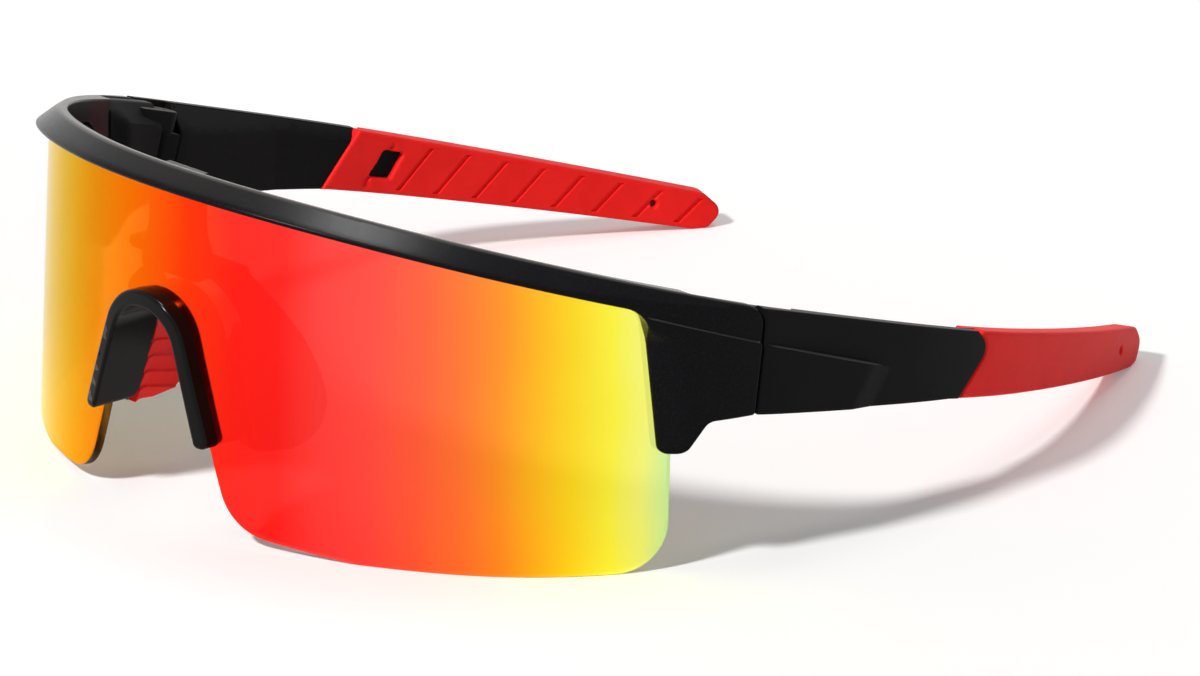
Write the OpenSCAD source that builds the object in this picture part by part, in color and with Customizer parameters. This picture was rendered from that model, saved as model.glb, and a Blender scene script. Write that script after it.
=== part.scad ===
// Wraparound sport sunglasses: one curved shield lens in the groove of a half-rim brow bar,
// a nose clip over the lens notch, two soft nose pads on moulded arms, and two temples that
// fold on screws and end in ribbed rubber sleeves.
// x runs across the face and +x is the wearer's left, y runs from the lens to the temple tips,
// z is up. The glasses rest on the two lens lobes and the two temple tips, at z = 0.
// In the outlines below, depth is measured backward from the lens's front at the floor.

/* [Curve of the front, seen from above] */
// Radius of the middle of the lens
centre_r = 57; // [54:0.5:60]
// Radius in front of the eyes
cheek_r = 100; // [92:1:110]
// Radius of the wrap at the corner of the face
corner_r = 61; // [59:0.5:63]
// Radius of the almost flat side at the hinge
side_r = 368; // [340:1:400]
// Radius of the temple beside the ear
temple_r = 128; // [120:1:140]
// Radius of the last stretch of the temple
ear_r = 278; // [250:1:310]
// Heading where the middle arc ends
centre_turn = 20; // [19:0.5:21]
// Heading where the arc in front of the eye ends
cheek_turn = 36; // [35:0.5:37]
// Heading where the wrap ends
corner_turn = 86; // [85:0.5:87]
// Heading where the side stretch ends
side_turn = 90; // [89.5:0.1:90.5]
// Heading where the arc beside the ear ends
temple_turn = 104; // [103:0.5:105]
// Backward lean of the lens
rake = 2; // [1.5:0.1:2.5]

/* [Brow bar] */
// Height of the bar's top edge at zero depth
brow_z = 54.9; // [53.5:0.1:57]
// Height of the same straight edge at the temple tip
tip_top_z = 6.35; // [6:0.05:6.8]
// Height of the bar's face
bar_h = 3.8; // [3.4:0.1:4.6]
// How far the bar stands in front of the lens
bar_proud = 2; // [1.6:0.1:2.4]
// Height of the sloped face that leads down from the bar's ridge
face_h = 3.2; // [2.8:0.1:3.3]
// How far the sloped face leans in
face_lean = 3.3; // [2.8:0.1:3.4]
// Heading where the sloped face starts to fade toward the hinge
face_turn = 50; // [46:1:56]
// Wall of the bar behind the lens
bar_wall = 1.1; // [0.9:0.1:1.6]
// How far the lens goes up into the bar
groove_h = 1.4; // [1.2:0.1:1.6]
// Gap all round a seated piece
fit_gap = 0.05; // [0.04:0.01:0.1]

/* [Lens] */
// Thickness of the lens
lens_t = 1.7; // [1.4:0.1:2]
// Distance from the lens's rear edge back to the hinge screw
lens_edge_in = 15.3; // [15:0.1:15.8]
// Radius of the lens's lower outer corner
lens_corner_r = 7.3; // [5:0.1:9]
// Half width between the flat bottoms of the two lobes
lobe_x = 34; // [31:0.5:38]
// Half width at the inner corner of a lobe
lobe_in_x = 16; // [15.5:0.1:17]
// Height of the inner corner of a lobe
lobe_in_z = 2.1; // [1.8:0.1:2.6]
// Radius of the inner corner of a lobe
lobe_in_r = 9; // [7:0.5:10]
// Half width of the notch where it enters the clip
notch_x = 12.65; // [12.4:0.05:12.9]
// Height where the notch enters the clip
notch_z = 11.5; // [11:0.1:12.5]
// Radius of the bend below the clip
notch_bend_r = 8; // [5:0.5:10]
// Half width at the top corner of the notch
notch_top_x = 4.9; // [4.75:0.05:5.05]
// Height of the top of the notch
notch_top_z = 35.6; // [35.4:0.1:35.8]
// Radius of the top corners of the notch
notch_top_r = 4.6; // [4:0.1:4.8]

/* [Lug at each side of the front] */
// Distance from the lug's front edge at the bar back to the hinge screw
lug_front_in = 19.8; // [19.4:0.1:20.2]
// Radius between the bar and the lug's front edge
lug_front_r = 4; // [3:0.1:4.5]
// Distance from the front corner of the tab back to the hinge screw
tab_front_in = 17.3; // [17:0.1:17.6]
// Distance from the rear corner of the tab back to the hinge screw
tab_rear_in = 14.1; // [13.8:0.1:14.4]
// Height from the top edge down to the tab's lower edge
tab_h = 24; // [23.4:0.1:25]
// Radius of the tab's corners
tab_r = 1.9; // [1.4:0.1:2]
// Distance back to the hinge screw from where the lug's lower edge levels out
lug_bend_in = 10.8; // [10:0.1:11.3]
// Height of the lug at the seam
lug_h = 16; // [15.8:0.1:16.3]
// Thickness of the lug at the hinge behind the lens's front face
lug_inner = 4.5; // [4.4:0.05:4.6]
// Distance from the seam's lower end back to the hinge screw
seam_low_in = 3.5; // [3.4:0.05:3.6]
// Distance from the seam's upper end back to the hinge screw
seam_top_in = 2.1; // [2:0.05:2.3]
// Radius of the seam's upper corner
seam_top_r = 3.4; // [2.8:0.1:4]
// Radius of the seam's lower corner
seam_low_r = 0.5; // [0.3:0.1:0.8]
// Height from the top edge down to the crease at the seam
crease_drop = 5.4; // [5:0.1:5.9]
// Angle between the crease and the top edge
crease_lean = 2.75; // [2.5:0.05:3]
// Height of the panel below the crease over the bar's face
panel_h = 0.25; // [0.2:0.05:0.4]

/* [Nose clip] */
// How far the clip stands in front of the lens
clip_proud = 2.4; // [2:0.1:2.8]
// Height of the lower ends
clip_low_z = 14; // [13.6:0.1:14.4]
// Outer half width at the lower ends
clip_out_x = 13.76; // [13.6:0.02:14]
// Inner half width at the lower ends
clip_in_x = 11.15; // [11:0.05:11.3]
// Half width at the upper outer corners
clip_top_out_x = 5.8; // [5.7:0.05:6]
// Height of the clip's top
clip_top_z = 36.9; // [36.8:0.05:37.1]
// Radius of the upper outer corners
clip_out_r = 5.6; // [5:0.1:5.7]
// Half width at the upper inner corners
clip_top_in_x = 4.5; // [4.4:0.05:4.6]
// Height of the inner top
clip_in_z = 34; // [33.8:0.05:34.2]
// Radius of the upper inner corners
clip_in_r = 4; // [3.4:0.1:4.2]
// Radius at the lower ends
clip_end_r = 1.05; // [0.8:0.05:1.1]
// Depth of the clip's rear face
clip_back_u = 8; // [7.6:0.1:8.4]
// Radius of the lower rear corner
clip_back_r = 2; // [1.5:0.1:2.6]

/* [Stem and nose arms] */
// Half width of the stem behind the lens
stem_half_x = 4.2; // [3.8:0.1:4.6]
// Depth of the stem's front face
stem_front_u = 3.9; // [3.85:0.05:4.1]
// Depth of the stem's rear face
stem_back_u = 8.2; // [7.8:0.1:8.6]
// Half width of the stem's foot on the clip
foot_half_x = 5.7; // [5.4:0.1:6]
// Share of the stem's height that its foot takes
foot_share = 0.17; // [0.14:0.01:0.2]
// Share of the stem's height over which it widens above the foot
flare_share = 0.28; // [0.22:0.01:0.35]
// Half width of the yoke that joins the arms to the stem
yoke_half_x = 11.6; // [11.4:0.1:12]
// Height of the yoke
yoke_h = 1.6; // [1.4:0.1:2]
// Height of the top of an arm
arm_top_z = 39.4; // [39.2:0.1:39.8]
// Height of the deepest part of an arm
belly_z = 20; // [19:0.5:21]
// Height of the lower end of an arm
arm_low_z = 12.8; // [12.6:0.1:13.2]
// How far an arm reaches behind the clip
arm_reach = 7.5; // [7:0.1:8]
// Depth of an arm at its upper and lower end
arm_end = 1.4; // [1.2:0.1:1.8]
// Half width at the rear edge of the two arms, low down
arm_rear_x = 13.5; // [13.3:0.1:13.9]
// How much narrower the rear edge is at the top
arm_rear_in = 3.8; // [3.5:0.1:4.1]
// Sideways thickness of an arm
arm_t = 1.5; // [1.3:0.1:1.8]
// Width of the crescent opening between the clip and an arm
crescent_w = 4.4; // [4:0.1:4.8]
// Height of the crescent's lower end
crescent_low_z = 27.4; // [27:0.1:28]
// Height of the crescent's upper end
crescent_high_z = 36.4; // [36:0.1:36.6]

/* [Nose pads] */
// Sideways thickness of a pad
pad_t = 2.1; // [1.8:0.1:2.4]
// Height of a pad's upper end
pad_top_z = 31; // [30:0.1:31.5]
// Height of the first ridge
ridge_z = 23.5; // [23:0.1:24]
// Spacing of the ridges
ridge_pitch = 2.65; // [2.5:0.05:2.75]
// Number of ridges
ridge_count = 4; // [2:1:4]
// Height of the step at a ridge
ridge_h = 0.35; // [0.25:0.05:0.45]

/* [Temples] */
// Depth of the temple tips
tip_u = 171.7; // [170:0.1:174]
// Height of the outermost point of the tip
tip_z = 2.9; // [2.7:0.1:3.1]
// Distance from the tip's upper corner back to the tip
tip_top_in = 3.5; // [3.3:0.1:4]
// Distance from the tip's lower corner back to the tip
toe_in = 2.7; // [2.4:0.1:3]
// Distance back to the tip from where the lower edge meets the floor
heel_in = 5.5; // [5.2:0.1:6]
// Height of the temple at the seam
blade_h = 16.3; // [16:0.1:16.6]
// Height of the temple at the elbow of its lower edge
elbow_h = 11.2; // [10.8:0.1:11.6]
// Distance from the hinge screw back to the elbow
elbow_back = 38.5; // [36:0.5:40]
// Outer face behind the panel, in front of the lens's curve
temple_out = 1.3; // [1.2:0.05:1.4]
// Inner face behind the lens's curve
temple_in = 2.4; // [2.3:0.05:2.5]
// Distance from the hinge screw back to the end of the flat upper facet
facet_back = 21.2; // [20:0.1:23]
// Distance from the hinge screw back to where the inner face starts to draw in
taper_from = 5.2; // [5:0.1:6]
// Distance from the hinge screw back to where the inner face has drawn in
taper_to = 27.2; // [26:0.1:29]
// Distance from the hinge screw back to the ramp that ends the raised panel
ramp_back = 17.8; // [17.2:0.1:18.4]
// Height from the top edge down to the front point of the ramp
ramp_drop = 9.9; // [9.5:0.1:10.3]
// Lean of the ramp in the side view
ramp_lean = 38; // [35:1:41]
// Angle by which the ramp dips into the temple
ramp_dip = 10.5; // [10:0.5:12]

/* [Sleeves] */
// Inner face of the sleeve behind the lens's curve
sleeve_in = 2.9; // [2.8:0.05:3]
// Distance from the hinge screw back to the upper end of the sleeve's outer edge
cuff_top_back = 45.6; // [45.2:0.1:46]
// Distance from the hinge screw back to the rearmost corner of the outer edge
cuff_nose_back = 48.8; // [48.4:0.1:49.2]
// Height from the top edge down to that corner
cuff_nose_drop = 2.4; // [2.2:0.1:2.7]
// Distance from the hinge screw back to the lower end of the outer edge
cuff_low_back = 41; // [40.6:0.1:41.4]
// Radius of the rearmost corner
cuff_r = 2.2; // [1.6:0.1:2.4]
// Distance from the hinge screw back to the upper end of the inner edge
cuff_in_top_back = 45.1; // [44.7:0.1:45.5]
// Distance from the hinge screw back to the lower end of the inner edge
cuff_in_low_back = 37.3; // [36.9:0.1:37.7]
// Thickness of the core inside a sleeve
core_t = 2; // [1.8:0.1:2.2]
// Wall of rubber on the outer side of the core
sleeve_wall = 1.1; // [1:0.05:1.2]
// Rubber above and below the core
sleeve_rim = 1.6; // [1.5:0.05:1.8]
// Distance from the core's end back to the tip
core_end_in = 6.7; // [6.3:0.1:7.1]
// Distance from the hinge screw back to the first groove
groove_back = 49.2; // [48.7:0.1:49.7]
// Spacing of the grooves along the sleeve
groove_pitch = 7.2; // [7.1:0.05:7.25]
// Number of grooves
groove_count = 9; // [3:1:9]
// Width of a groove
groove_w = 0.9; // [0.7:0.1:1.1]
// Depth of a groove into the rubber
groove_d = 0.45; // [0.35:0.05:0.55]
// Rubber left at both ends of a groove
groove_margin = 1; // [0.9:0.1:1.2]
// Distance from the hinge screw back to the middle of the window in the inner face
window_back = 50.8; // [50.5:0.1:51.1]
// Height of the window
window_h = 4.2; // [3.8:0.1:4.4]
// Length of the window
window_l = 4.1; // [3.8:0.1:4.4]
// Radius of the cord hole near the tip
cord_hole_r = 0.6; // [0.5:0.05:0.7]
// Distance from the cord hole back to the tip
cord_hole_in = 12.2; // [11.9:0.1:12.5]

/* [Hinges] */
// Depth of the hinge screw at the middle of the lug
hinge_u = 58.8; // [58:0.1:60]
// Distance of the hinge screw behind the lug's outer face
hinge_inset = 4.3; // [4.25:0.05:4.4]
// Height from the top edge down to the middle of the hinge
hinge_drop = 7.5; // [7.3:0.1:7.7]
// Radius of the knuckles
knuckle_r = 2.2; // [2.1:0.02:2.22]
// Radius of the hinge screw
pin_r = 0.8; // [0.7:0.05:0.9]
// Height of the temple's tongue
tongue_h = 5.5; // [5.2:0.1:6]
// Height over both fork knuckles
fork_h = 12.4; // [12:0.1:12.8]
// Vertical gap between tongue and fork
knuckle_gap = 0.15; // [0.1:0.01:0.2]
// Length of the fork's web into the lug
fork_web = 6; // [5.5:0.1:6.5]
// Distance from the screw to the lug's rear face
lug_stop = 2.35; // [2.32:0.01:2.4]
// Distance from the screw to the temple's front face
temple_stop = 2.7; // [2.6:0.05:2.8]
// Gap at the visible seam
seam_gap = 0.15; // [0.12:0.01:0.2]
// Radius of the screw head
head_r = 1.5; // [1.4:0.05:1.7]
// Height of the screw head
head_h = 1.1; // [0.9:0.05:1.2]
// Width of the slot in the screw head
slot_w = 0.4; // [0.3:0.05:0.5]

/* [Hidden] */
$fn = 200;

frame_black = [0.06, 0.06, 0.08];
clip_black = [0.03, 0.03, 0.03];
rubber_red = [0.85, 0.12, 0.12];
mirror_orange = [0.98, 0.45, 0.1];
screw_steel = [0.6, 0.6, 0.62];

// Steps in a rounded corner of an outline
corner_steps = 6;
// Overrun of a cut, and a reach that is past the part in every direction
over = 4;
reach = 2 * tip_u;

// Largest heading between two neighbouring points of the curve
heading_step = 2;
// Radii and headings of the arcs, from the middle of the lens back past the temple tip
arc_radii = [centre_r, cheek_r, corner_r, side_r, temple_r, ear_r];
tip_turn = 130;
arc_turns = [centre_turn, cheek_turn, corner_turn, side_turn, temple_turn, tip_turn];

// Outward direction of the curve at a heading
function outward(heading) = [sin(heading), -cos(heading)];

// Centre of an arc: neighbours share the normal where they meet
function arc_centre(i) = i == 0
    ? [0, centre_r]
    : arc_centre(i - 1) + (arc_radii[i - 1] - arc_radii[i]) * outward(arc_turns[i - 1]);

// Arc that holds a heading, and the point of the curve there, moved outward by an offset
function arc_of(heading, i = 0) =
    i == len(arc_radii) - 1 || heading <= arc_turns[i] ? i : arc_of(heading, i + 1);
function curve_point(heading, offset) =
    let (
        turn = abs(heading),
        i = arc_of(turn),
        p = arc_centre(i) + (arc_radii[i] + offset) * outward(turn))
    [heading < 0 ? -p.x : p.x, p.y];

// Arc that passes a depth
function arc_end_u(i) = curve_point(arc_turns[i], 0).y;
function arc_at(u, i = 0) = i == len(arc_radii) - 1 || u < arc_end_u(i) ? i : arc_at(u, i + 1);

// Heading of the curve at a depth, moved outward by an offset
function heading_at(u, offset) =
    let (i = arc_at(u))
    acos((arc_centre(i).y - u) / (arc_radii[i] + offset));

// Half width of the curve at a depth, moved outward by an offset
function half_x(u, offset) = curve_point(heading_at(u, offset), offset).x;

// Depths on the lens and the lug, measured forward from the hinge screw
lens_edge_u = hinge_u - lens_edge_in;
lug_front_u = hinge_u - lug_front_in;
tab_front_u = hinge_u - tab_front_in;
tab_rear_u = hinge_u - tab_rear_in;
lug_bend_u = hinge_u - lug_bend_in;
seam_low_u = hinge_u - seam_low_in;
seam_top_u = hinge_u - seam_top_in;

// Depths on the temple, measured back from the hinge screw or forward from the tip
elbow_u = hinge_u + elbow_back;
cuff_in_top_u = hinge_u + cuff_in_top_back;
cuff_in_low_u = hinge_u + cuff_in_low_back;
tip_top_u = tip_u - tip_top_in;
toe_u = tip_u - toe_in;
heel_u = tip_u - heel_in;
core_end_u = tip_u - core_end_in;
cord_hole_u = tip_u - cord_hole_in;

// Edges seen from the side: top, underside of the bar, top of the lens and lower edge
top_slope = atan((brow_z - tip_top_z) / tip_top_u);
function top_z(u) = brow_z - u * tan(top_slope);
function bar_low_z(u) = top_z(u) - bar_h;
function lens_top_z(u) = bar_low_z(u) + groove_h;
elbow_z = top_z(elbow_u) - elbow_h;
blade_z = top_z(seam_low_u) - blade_h;
function low_z(u) = u > elbow_u
    ? elbow_z * (heel_u - u) / (heel_u - elbow_u)
    : elbow_z + (blade_z - elbow_z) * (elbow_u - u) / (elbow_u - seam_low_u);
function crease_z(u) =
    top_z(seam_top_u) - crease_drop - (u - seam_top_u) * tan(top_slope + crease_lean);
lug_low_z = top_z(seam_top_u) - lug_h;
tab_z = top_z(tab_rear_u) - tab_h;

// Same angle between half a turn backward and half a turn forward
function short_turn(angle) = angle > 180 ? angle - 360 : angle < -180 ? angle + 360 : angle;

// Outline whose corners [x, y, radius] are rounded
function rounded(corners) = [
    for (i = [0:len(corners) - 1])
        let (
            n = len(corners),
            p = [corners[i].x, corners[i].y],
            a = [corners[(i + n - 1) % n].x, corners[(i + n - 1) % n].y],
            b = [corners[(i + 1) % n].x, corners[(i + 1) % n].y],
            r = corners[i].z,
            e = (a - p) / norm(a - p),
            f = (b - p) / norm(b - p),
            half = acos(e * f) / 2,
            c = p + (e + f) / norm(e + f) * r / sin(half),
            from = p + e * r / tan(half) - c,
            to = p + f * r / tan(half) - c,
            start = atan2(from.y, from.x),
            turn = short_turn(atan2(to.y, to.x) - start)
        )
        each r == 0
            ? [p]
            : [for (k = [0:corner_steps])
                c + r * [cos(start + turn * k / corner_steps), sin(start + turn * k / corner_steps)]]
];

// Side view of a temple from the seam to the tip
temple_outline = rounded([
    [seam_top_u + seam_gap, top_z(seam_top_u), 0],
    [seam_low_u + seam_gap, low_z(seam_low_u), seam_low_r],
    [elbow_u, low_z(elbow_u), 0],
    [heel_u, 0, 0],
    [toe_u, 0, tip_z / 5],
    [tip_u, tip_z, tip_z / 3],
    [tip_top_u, top_z(tip_top_u), tip_z / 2]]);

// Furthest forward point, at the middle of the clip, and the middle of the whole depth
front_u = clip_in_z * sin(rake) - clip_proud * cos(rake);
mid_u = (max([for (p = temple_outline) p.x]) + front_u) / 2;

// Hinge screw's place
hinge_x = half_x(hinge_u, bar_proud) - hinge_inset;
hinge_z = top_z(hinge_u) - hinge_drop;
// Outer skins of lug and temple start this far outside the screw
skin_x = knuckle_r + 3 * fit_gap;

// Corners of a symmetric outline from its right half, from bottom to top
function with_mirror(corners) = concat(
    corners, [for (i = [len(corners) - 1:-1:0]) [-corners[i].x, corners[i].y, corners[i].z]]);

// Both sides of the face
module both_sides() {
    children();
    mirror([1, 0, 0]) children();
}

// Piece of the wearer's left or right side
module on_side(left) {
    mirror([left ? 0 : 1, 0, 0]) children();
}

// Puts the middle of the depth at y = 0
module placed() {
    translate([0, -mid_u, 0]) children();
}

// Strip of the left half between two headings and two offsets
module side_strip(from, to, inner, outer) {
    steps = ceil((to - from) / heading_step);
    headings = [for (k = [0:steps]) from + (to - from) * k / steps];
    polygon(concat(
        [for (h = headings) curve_point(h, outer)],
        [for (k = [len(headings) - 1:-1:0]) curve_point(headings[k], inner)]));
}

// Strip of the whole front up to a heading on both sides
module front_strip(to, inner, outer) {
    side_strip(-to, to, inner, outer);
}

// Wall of the front, leaning back with the lens
module raked_wall() {
    rotate([-rake, 0, 0])
        translate([0, 0, -over])
            linear_extrude(brow_z + 2 * over) children();
}

// Upright wall of a temple
module upright_wall() {
    translate([0, 0, -over]) linear_extrude(brow_z + over) children();
}

// Prism across the face with an outline of depth and height
module side_prism(outline) {
    rotate([90, 0, 90]) linear_extrude(reach, center = true) polygon(outline);
}

// Prism from front to back with an outline of width and height
module front_prism(outline, from, to) {
    translate([0, to, 0]) rotate([90, 0, 0]) linear_extrude(to - from) polygon(outline);
}

// Frame of the left hinge: y runs back along the top edge, z runs up along the screw
module at_hinge() {
    translate([hinge_x, hinge_u, hinge_z]) rotate([-top_slope, 0, 0]) children();
}

// Block in the hinge frame, from one x and y to another and past the part in height
module hinge_block(from_x, to_x, from_y, to_y) {
    at_hinge() translate([from_x, from_y, -brow_z]) cube([to_x - from_x, to_y - from_y, 2 * brow_z]);
}

// Lens notch, drawn in by a gap
function notch_outline(gap) = rounded(with_mirror([
    [lobe_x, -over, 0],
    [lobe_x, 0, 0],
    [lobe_in_x - gap, lobe_in_z - gap, lobe_in_r],
    [notch_x - gap, notch_z, notch_bend_r],
    [notch_top_x - gap, notch_top_z - gap, notch_top_r]]));

module shield_lens() {
    lens_side = rounded([
        [-over, 0, 0],
        [lens_edge_u, 0, lens_corner_r],
        [lens_edge_u, lens_top_z(lens_edge_u), 0],
        [-over, lens_top_z(-over), 0]]);
    color(mirror_orange) placed() difference() {
        intersection() {
            raked_wall() front_strip(side_turn, -lens_t, 0);
            side_prism(lens_side);
        }
        front_prism(notch_outline(0), -over, lens_edge_u);
    }
}

// Room for the lens with its gap in the bar and the lugs
module lens_groove() {
    edge = lens_edge_u + fit_gap;
    intersection() {
        raked_wall() front_strip(side_turn, -lens_t - fit_gap, fit_gap);
        side_prism([
            [-over, -over],
            [edge, -over],
            [edge, lens_top_z(edge) + fit_gap],
            [-over, lens_top_z(-over) + fit_gap]]);
    }
}

// Side view of bar and lug, with the lug's rear end as given corners
function bar_outline(rear_corners) = rounded(concat(
    [[-over, top_z(-over), 0]],
    rear_corners,
    [[lug_bend_u, lug_low_z, tab_r],
     [tab_rear_u, tab_z, tab_r],
     [tab_front_u, tab_z, tab_r * 4 / 5],
     [lug_front_u, bar_low_z(lug_front_u), lug_front_r],
     [-over, bar_low_z(-over), 0]]));

// Region below the crease, as far back as a depth
function below_crease(back_u) = [
    [0, crease_z(0)],
    [back_u, crease_z(back_u)],
    [back_u, -over],
    [0, -over]];

// Height of the plane of the top edge, measured along the leaning wall
function wall_top(u) = (brow_z + u * (sin(rake) - cos(rake) * tan(top_slope)))
    / (cos(rake) + sin(rake) * tan(top_slope));

// Share of the sloped face that is left at a heading: it fades into a chamfer at the hinge
chamfer_share = 0.15;
function face_share(turn) =
    max(chamfer_share, min(1, (corner_turn - turn) / (corner_turn - face_turn)));

// Cuts the sloped face from the ridge of the bar down to its lower edge, past both
module face_cutter() {
    last_turn = corner_turn + heading_step / 2;
    steps = ceil(2 * last_turn / heading_step);
    out = bar_proud / 2;
    rise = face_h * out / face_lean;
    rotate([-rake, 0, 0]) loft([for (k = [0:steps])
        let (
            heading = last_turn * (2 * k / steps - 1),
            share = face_share(abs(heading)),
            ridge = bar_proud - face_lean * share,
            low = face_h * share + rise)
        [for (corner = [[bar_proud + out, -rise], [ridge - out, -rise], [bar_proud + out, low]])
            let (p = curve_point(heading, corner.x)) [p.x, p.y, wall_top(p.y) - corner.y]]]);
}

// Thicker inner side of the lug in plan, which runs out forward
module lug_root_plan() {
    intersection() {
        side_strip(cheek_turn, side_turn, -lug_inner, 0);
        polygon([
            [half_x(tab_rear_u, -lens_t - bar_wall), tab_rear_u],
            [half_x(lug_bend_u, -lug_inner), lug_bend_u],
            [0, hinge_u],
            [0, 2 * hinge_u],
            [2 * hinge_x, 2 * hinge_u],
            [2 * hinge_x, tab_rear_u]]);
    }
}

// Brow bar and both lugs before the hinge is cut
module bar_and_lugs() {
    seam_corners = [
        [seam_top_u, top_z(seam_top_u), seam_top_r],
        [seam_low_u, lug_low_z, seam_low_r]];
    stop_corners = [
        [hinge_u + over, top_z(hinge_u + over), 0],
        [hinge_u + over, lug_low_z, 0]];
    intersection() {
        raked_wall() front_strip(side_turn, -lens_t - bar_wall, bar_proud);
        side_prism(bar_outline(seam_corners));
    }
    intersection() {
        raked_wall() both_sides() side_strip(cheek_turn, side_turn, 0, bar_proud + panel_h);
        side_prism(bar_outline(seam_corners));
        side_prism(below_crease(hinge_u));
    }
    intersection() {
        raked_wall() both_sides() side_strip(cheek_turn, side_turn, -lens_t - bar_wall, bar_proud);
        side_prism(bar_outline(stop_corners));
        both_sides() hinge_block(-hinge_x, skin_x, -reach, 0);
    }
    intersection() {
        raked_wall() both_sides() lug_root_plan();
        side_prism(bar_outline(stop_corners));
        both_sides() hinge_block(-hinge_x, skin_x, -reach, 0);
    }
}

// Two knuckles of the fork with the web into the lug
module fork() {
    knuckle_h = (fork_h - tongue_h) / 2 - knuckle_gap;
    at_hinge() for (low = [-fork_h / 2, tongue_h / 2 + knuckle_gap]) {
        translate([0, 0, low]) cylinder(r = knuckle_r, h = knuckle_h);
        translate([-knuckle_r, -fork_web, low]) cube([2 * knuckle_r, fork_web, knuckle_h]);
    }
}

// Bore for the hinge screw
module pin_bore() {
    at_hinge() cylinder(r = pin_r + fit_gap, h = fork_h + 2 * over, center = true);
}

// Stem from the bar down to its foot on the clip, with the yoke that carries the arms
module stem() {
    foot_z = clip_top_z + fit_gap;
    stem_top_z = bar_low_z(0) + groove_h;
    foot_top_z = foot_z + (stem_top_z - foot_z) * foot_share;
    flare_h = (stem_top_z - foot_z) * flare_share;
    front_prism(rounded(with_mirror([
        [foot_half_x, foot_z, 0],
        [foot_half_x, foot_top_z, flare_h / 2],
        [stem_half_x, foot_top_z + flare_h, flare_h / 2],
        [stem_half_x, stem_top_z, 0]])), stem_front_u, stem_back_u);
    front_prism(rounded(with_mirror([
        [yoke_half_x, arm_top_z - yoke_h, 0],
        [yoke_half_x, arm_top_z + yoke_h / 4, yoke_h / 2]])),
        stem_back_u - yoke_h, clip_back_u + arm_end + yoke_h / 4);
}

// How far up the arm a height is, from the belly
function arm_rise(z) = (z - belly_z) / (z > belly_z ? arm_top_z - belly_z : belly_z - arm_low_z);

// Shares that shape the rear outline and the twist of an arm
arm_fade_share = 1.6;
arm_twist_share = 3;

// Depth of the arm's rear edge at a height
function arm_rear_u(z) = clip_back_u + arm_end + (arm_reach - arm_end)
    * (z > belly_z ? 1 - pow(arm_rise(z), arm_fade_share) : sqrt(max(0, 1 - pow(arm_rise(z), 2))));

// Half width between the arms at the rear edge and at the front edge
function arm_rear_half(z) =
    arm_rear_x - arm_rear_in * pow((z - arm_low_z) / (arm_top_z - arm_low_z), arm_twist_share);
function clip_inner_half(z) =
    clip_in_x + (clip_top_in_x - clip_in_x) * (z - clip_low_z) / (clip_in_z - clip_low_z);
function crescent_half(z) = z > crescent_low_z && z < crescent_high_z
    ? crescent_w * sqrt(sin(180 * (z - crescent_low_z) / (crescent_high_z - crescent_low_z)))
    : 0;

// Point of the surface between pad and nose, from the clip back to the rear edge
function nose_point(z, share) = let (
    front = [clip_inner_half(z) + crescent_half(z), clip_back_u + fit_gap],
    rear = [arm_rear_half(z), arm_rear_u(z)])
    front + (rear - front) * share;

// Closed ring of a blade at a height, between two sideways distances from the nose surface
blade_shares = [0, 0.35, 0.7, 1];
blade_taper_shares = [1, 1, 0.9, 0.55];
function blade_ring(z, inner, outer) = concat(
    [for (s = blade_shares) let (p = nose_point(z, s)) [p.x + inner, p.y, z]],
    [for (k = [len(blade_shares) - 1:-1:0])
        let (p = nose_point(z, blade_shares[k]))
        [p.x + inner + (outer - inner) * blade_taper_shares[k], p.y, z]]);

// Closed skin through rings, each with the first half of its points on one side and the second
// half on the other: both are split along the same diagonals, so that a pad fits its arm
module loft(rings) {
    n = len(rings[0]);
    last = len(rings) - 1;
    polyhedron(
        points = [for (ring = rings) each ring],
        faces = concat(
            [[for (k = [n - 1:-1:0]) k]],
            [for (i = [0:last - 1]) for (k = [0:n - 1])
                let (a = i * n + k, b = i * n + (k + 1) % n, c = a + n, d = b + n)
                each k < n / 2 ? [[a, d, c], [a, b, d]] : [[a, b, c], [b, d, c]]],
            [[for (k = [0:n - 1]) last * n + k]]));
}

// Rows of a pad from its lower end up: height, and how far its face is set back there
row_steps = 4;
ridge_drop = ridge_pitch / 8;
smooth_z = ridge_z + ridge_drop;
ridge_end_z = smooth_z - ridge_count * ridge_pitch;
pad_rows = concat(
    [for (share = [1 / 4, 1]) [arm_low_z + (ridge_end_z - arm_low_z) * share, ridge_h]],
    [for (k = [ridge_count - 1:-1:0]) each [
        [ridge_z - k * ridge_pitch - ridge_drop, 0],
        [ridge_z - k * ridge_pitch, ridge_h]]],
    [for (k = [0:row_steps]) [smooth_z + (pad_top_z - smooth_z) * k / row_steps, 0]]);

// Moulded arm beside the nose, which carries a pad
module nose_arm() {
    heights = concat(
        [arm_low_z],
        [for (row = pad_rows) row.x],
        [for (k = [1:row_steps]) pad_top_z + (arm_top_z - pad_top_z) * k / row_steps]);
    loft([for (z = heights)
        let (room = pad_t * min(1, (arm_top_z - z) / (arm_top_z - pad_top_z)))
        blade_ring(z, room, room + arm_t)]);
}

module frame_front() {
    color(frame_black) placed() difference() {
        union() {
            difference() {
                bar_and_lugs();
                face_cutter();
                both_sides() hinge_block(-hinge_x, skin_x + fit_gap, -lug_stop, reach);
                lens_groove();
            }
            both_sides() fork();
            stem();
            both_sides() nose_arm();
        }
        both_sides() pin_bore();
    }
}

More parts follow.
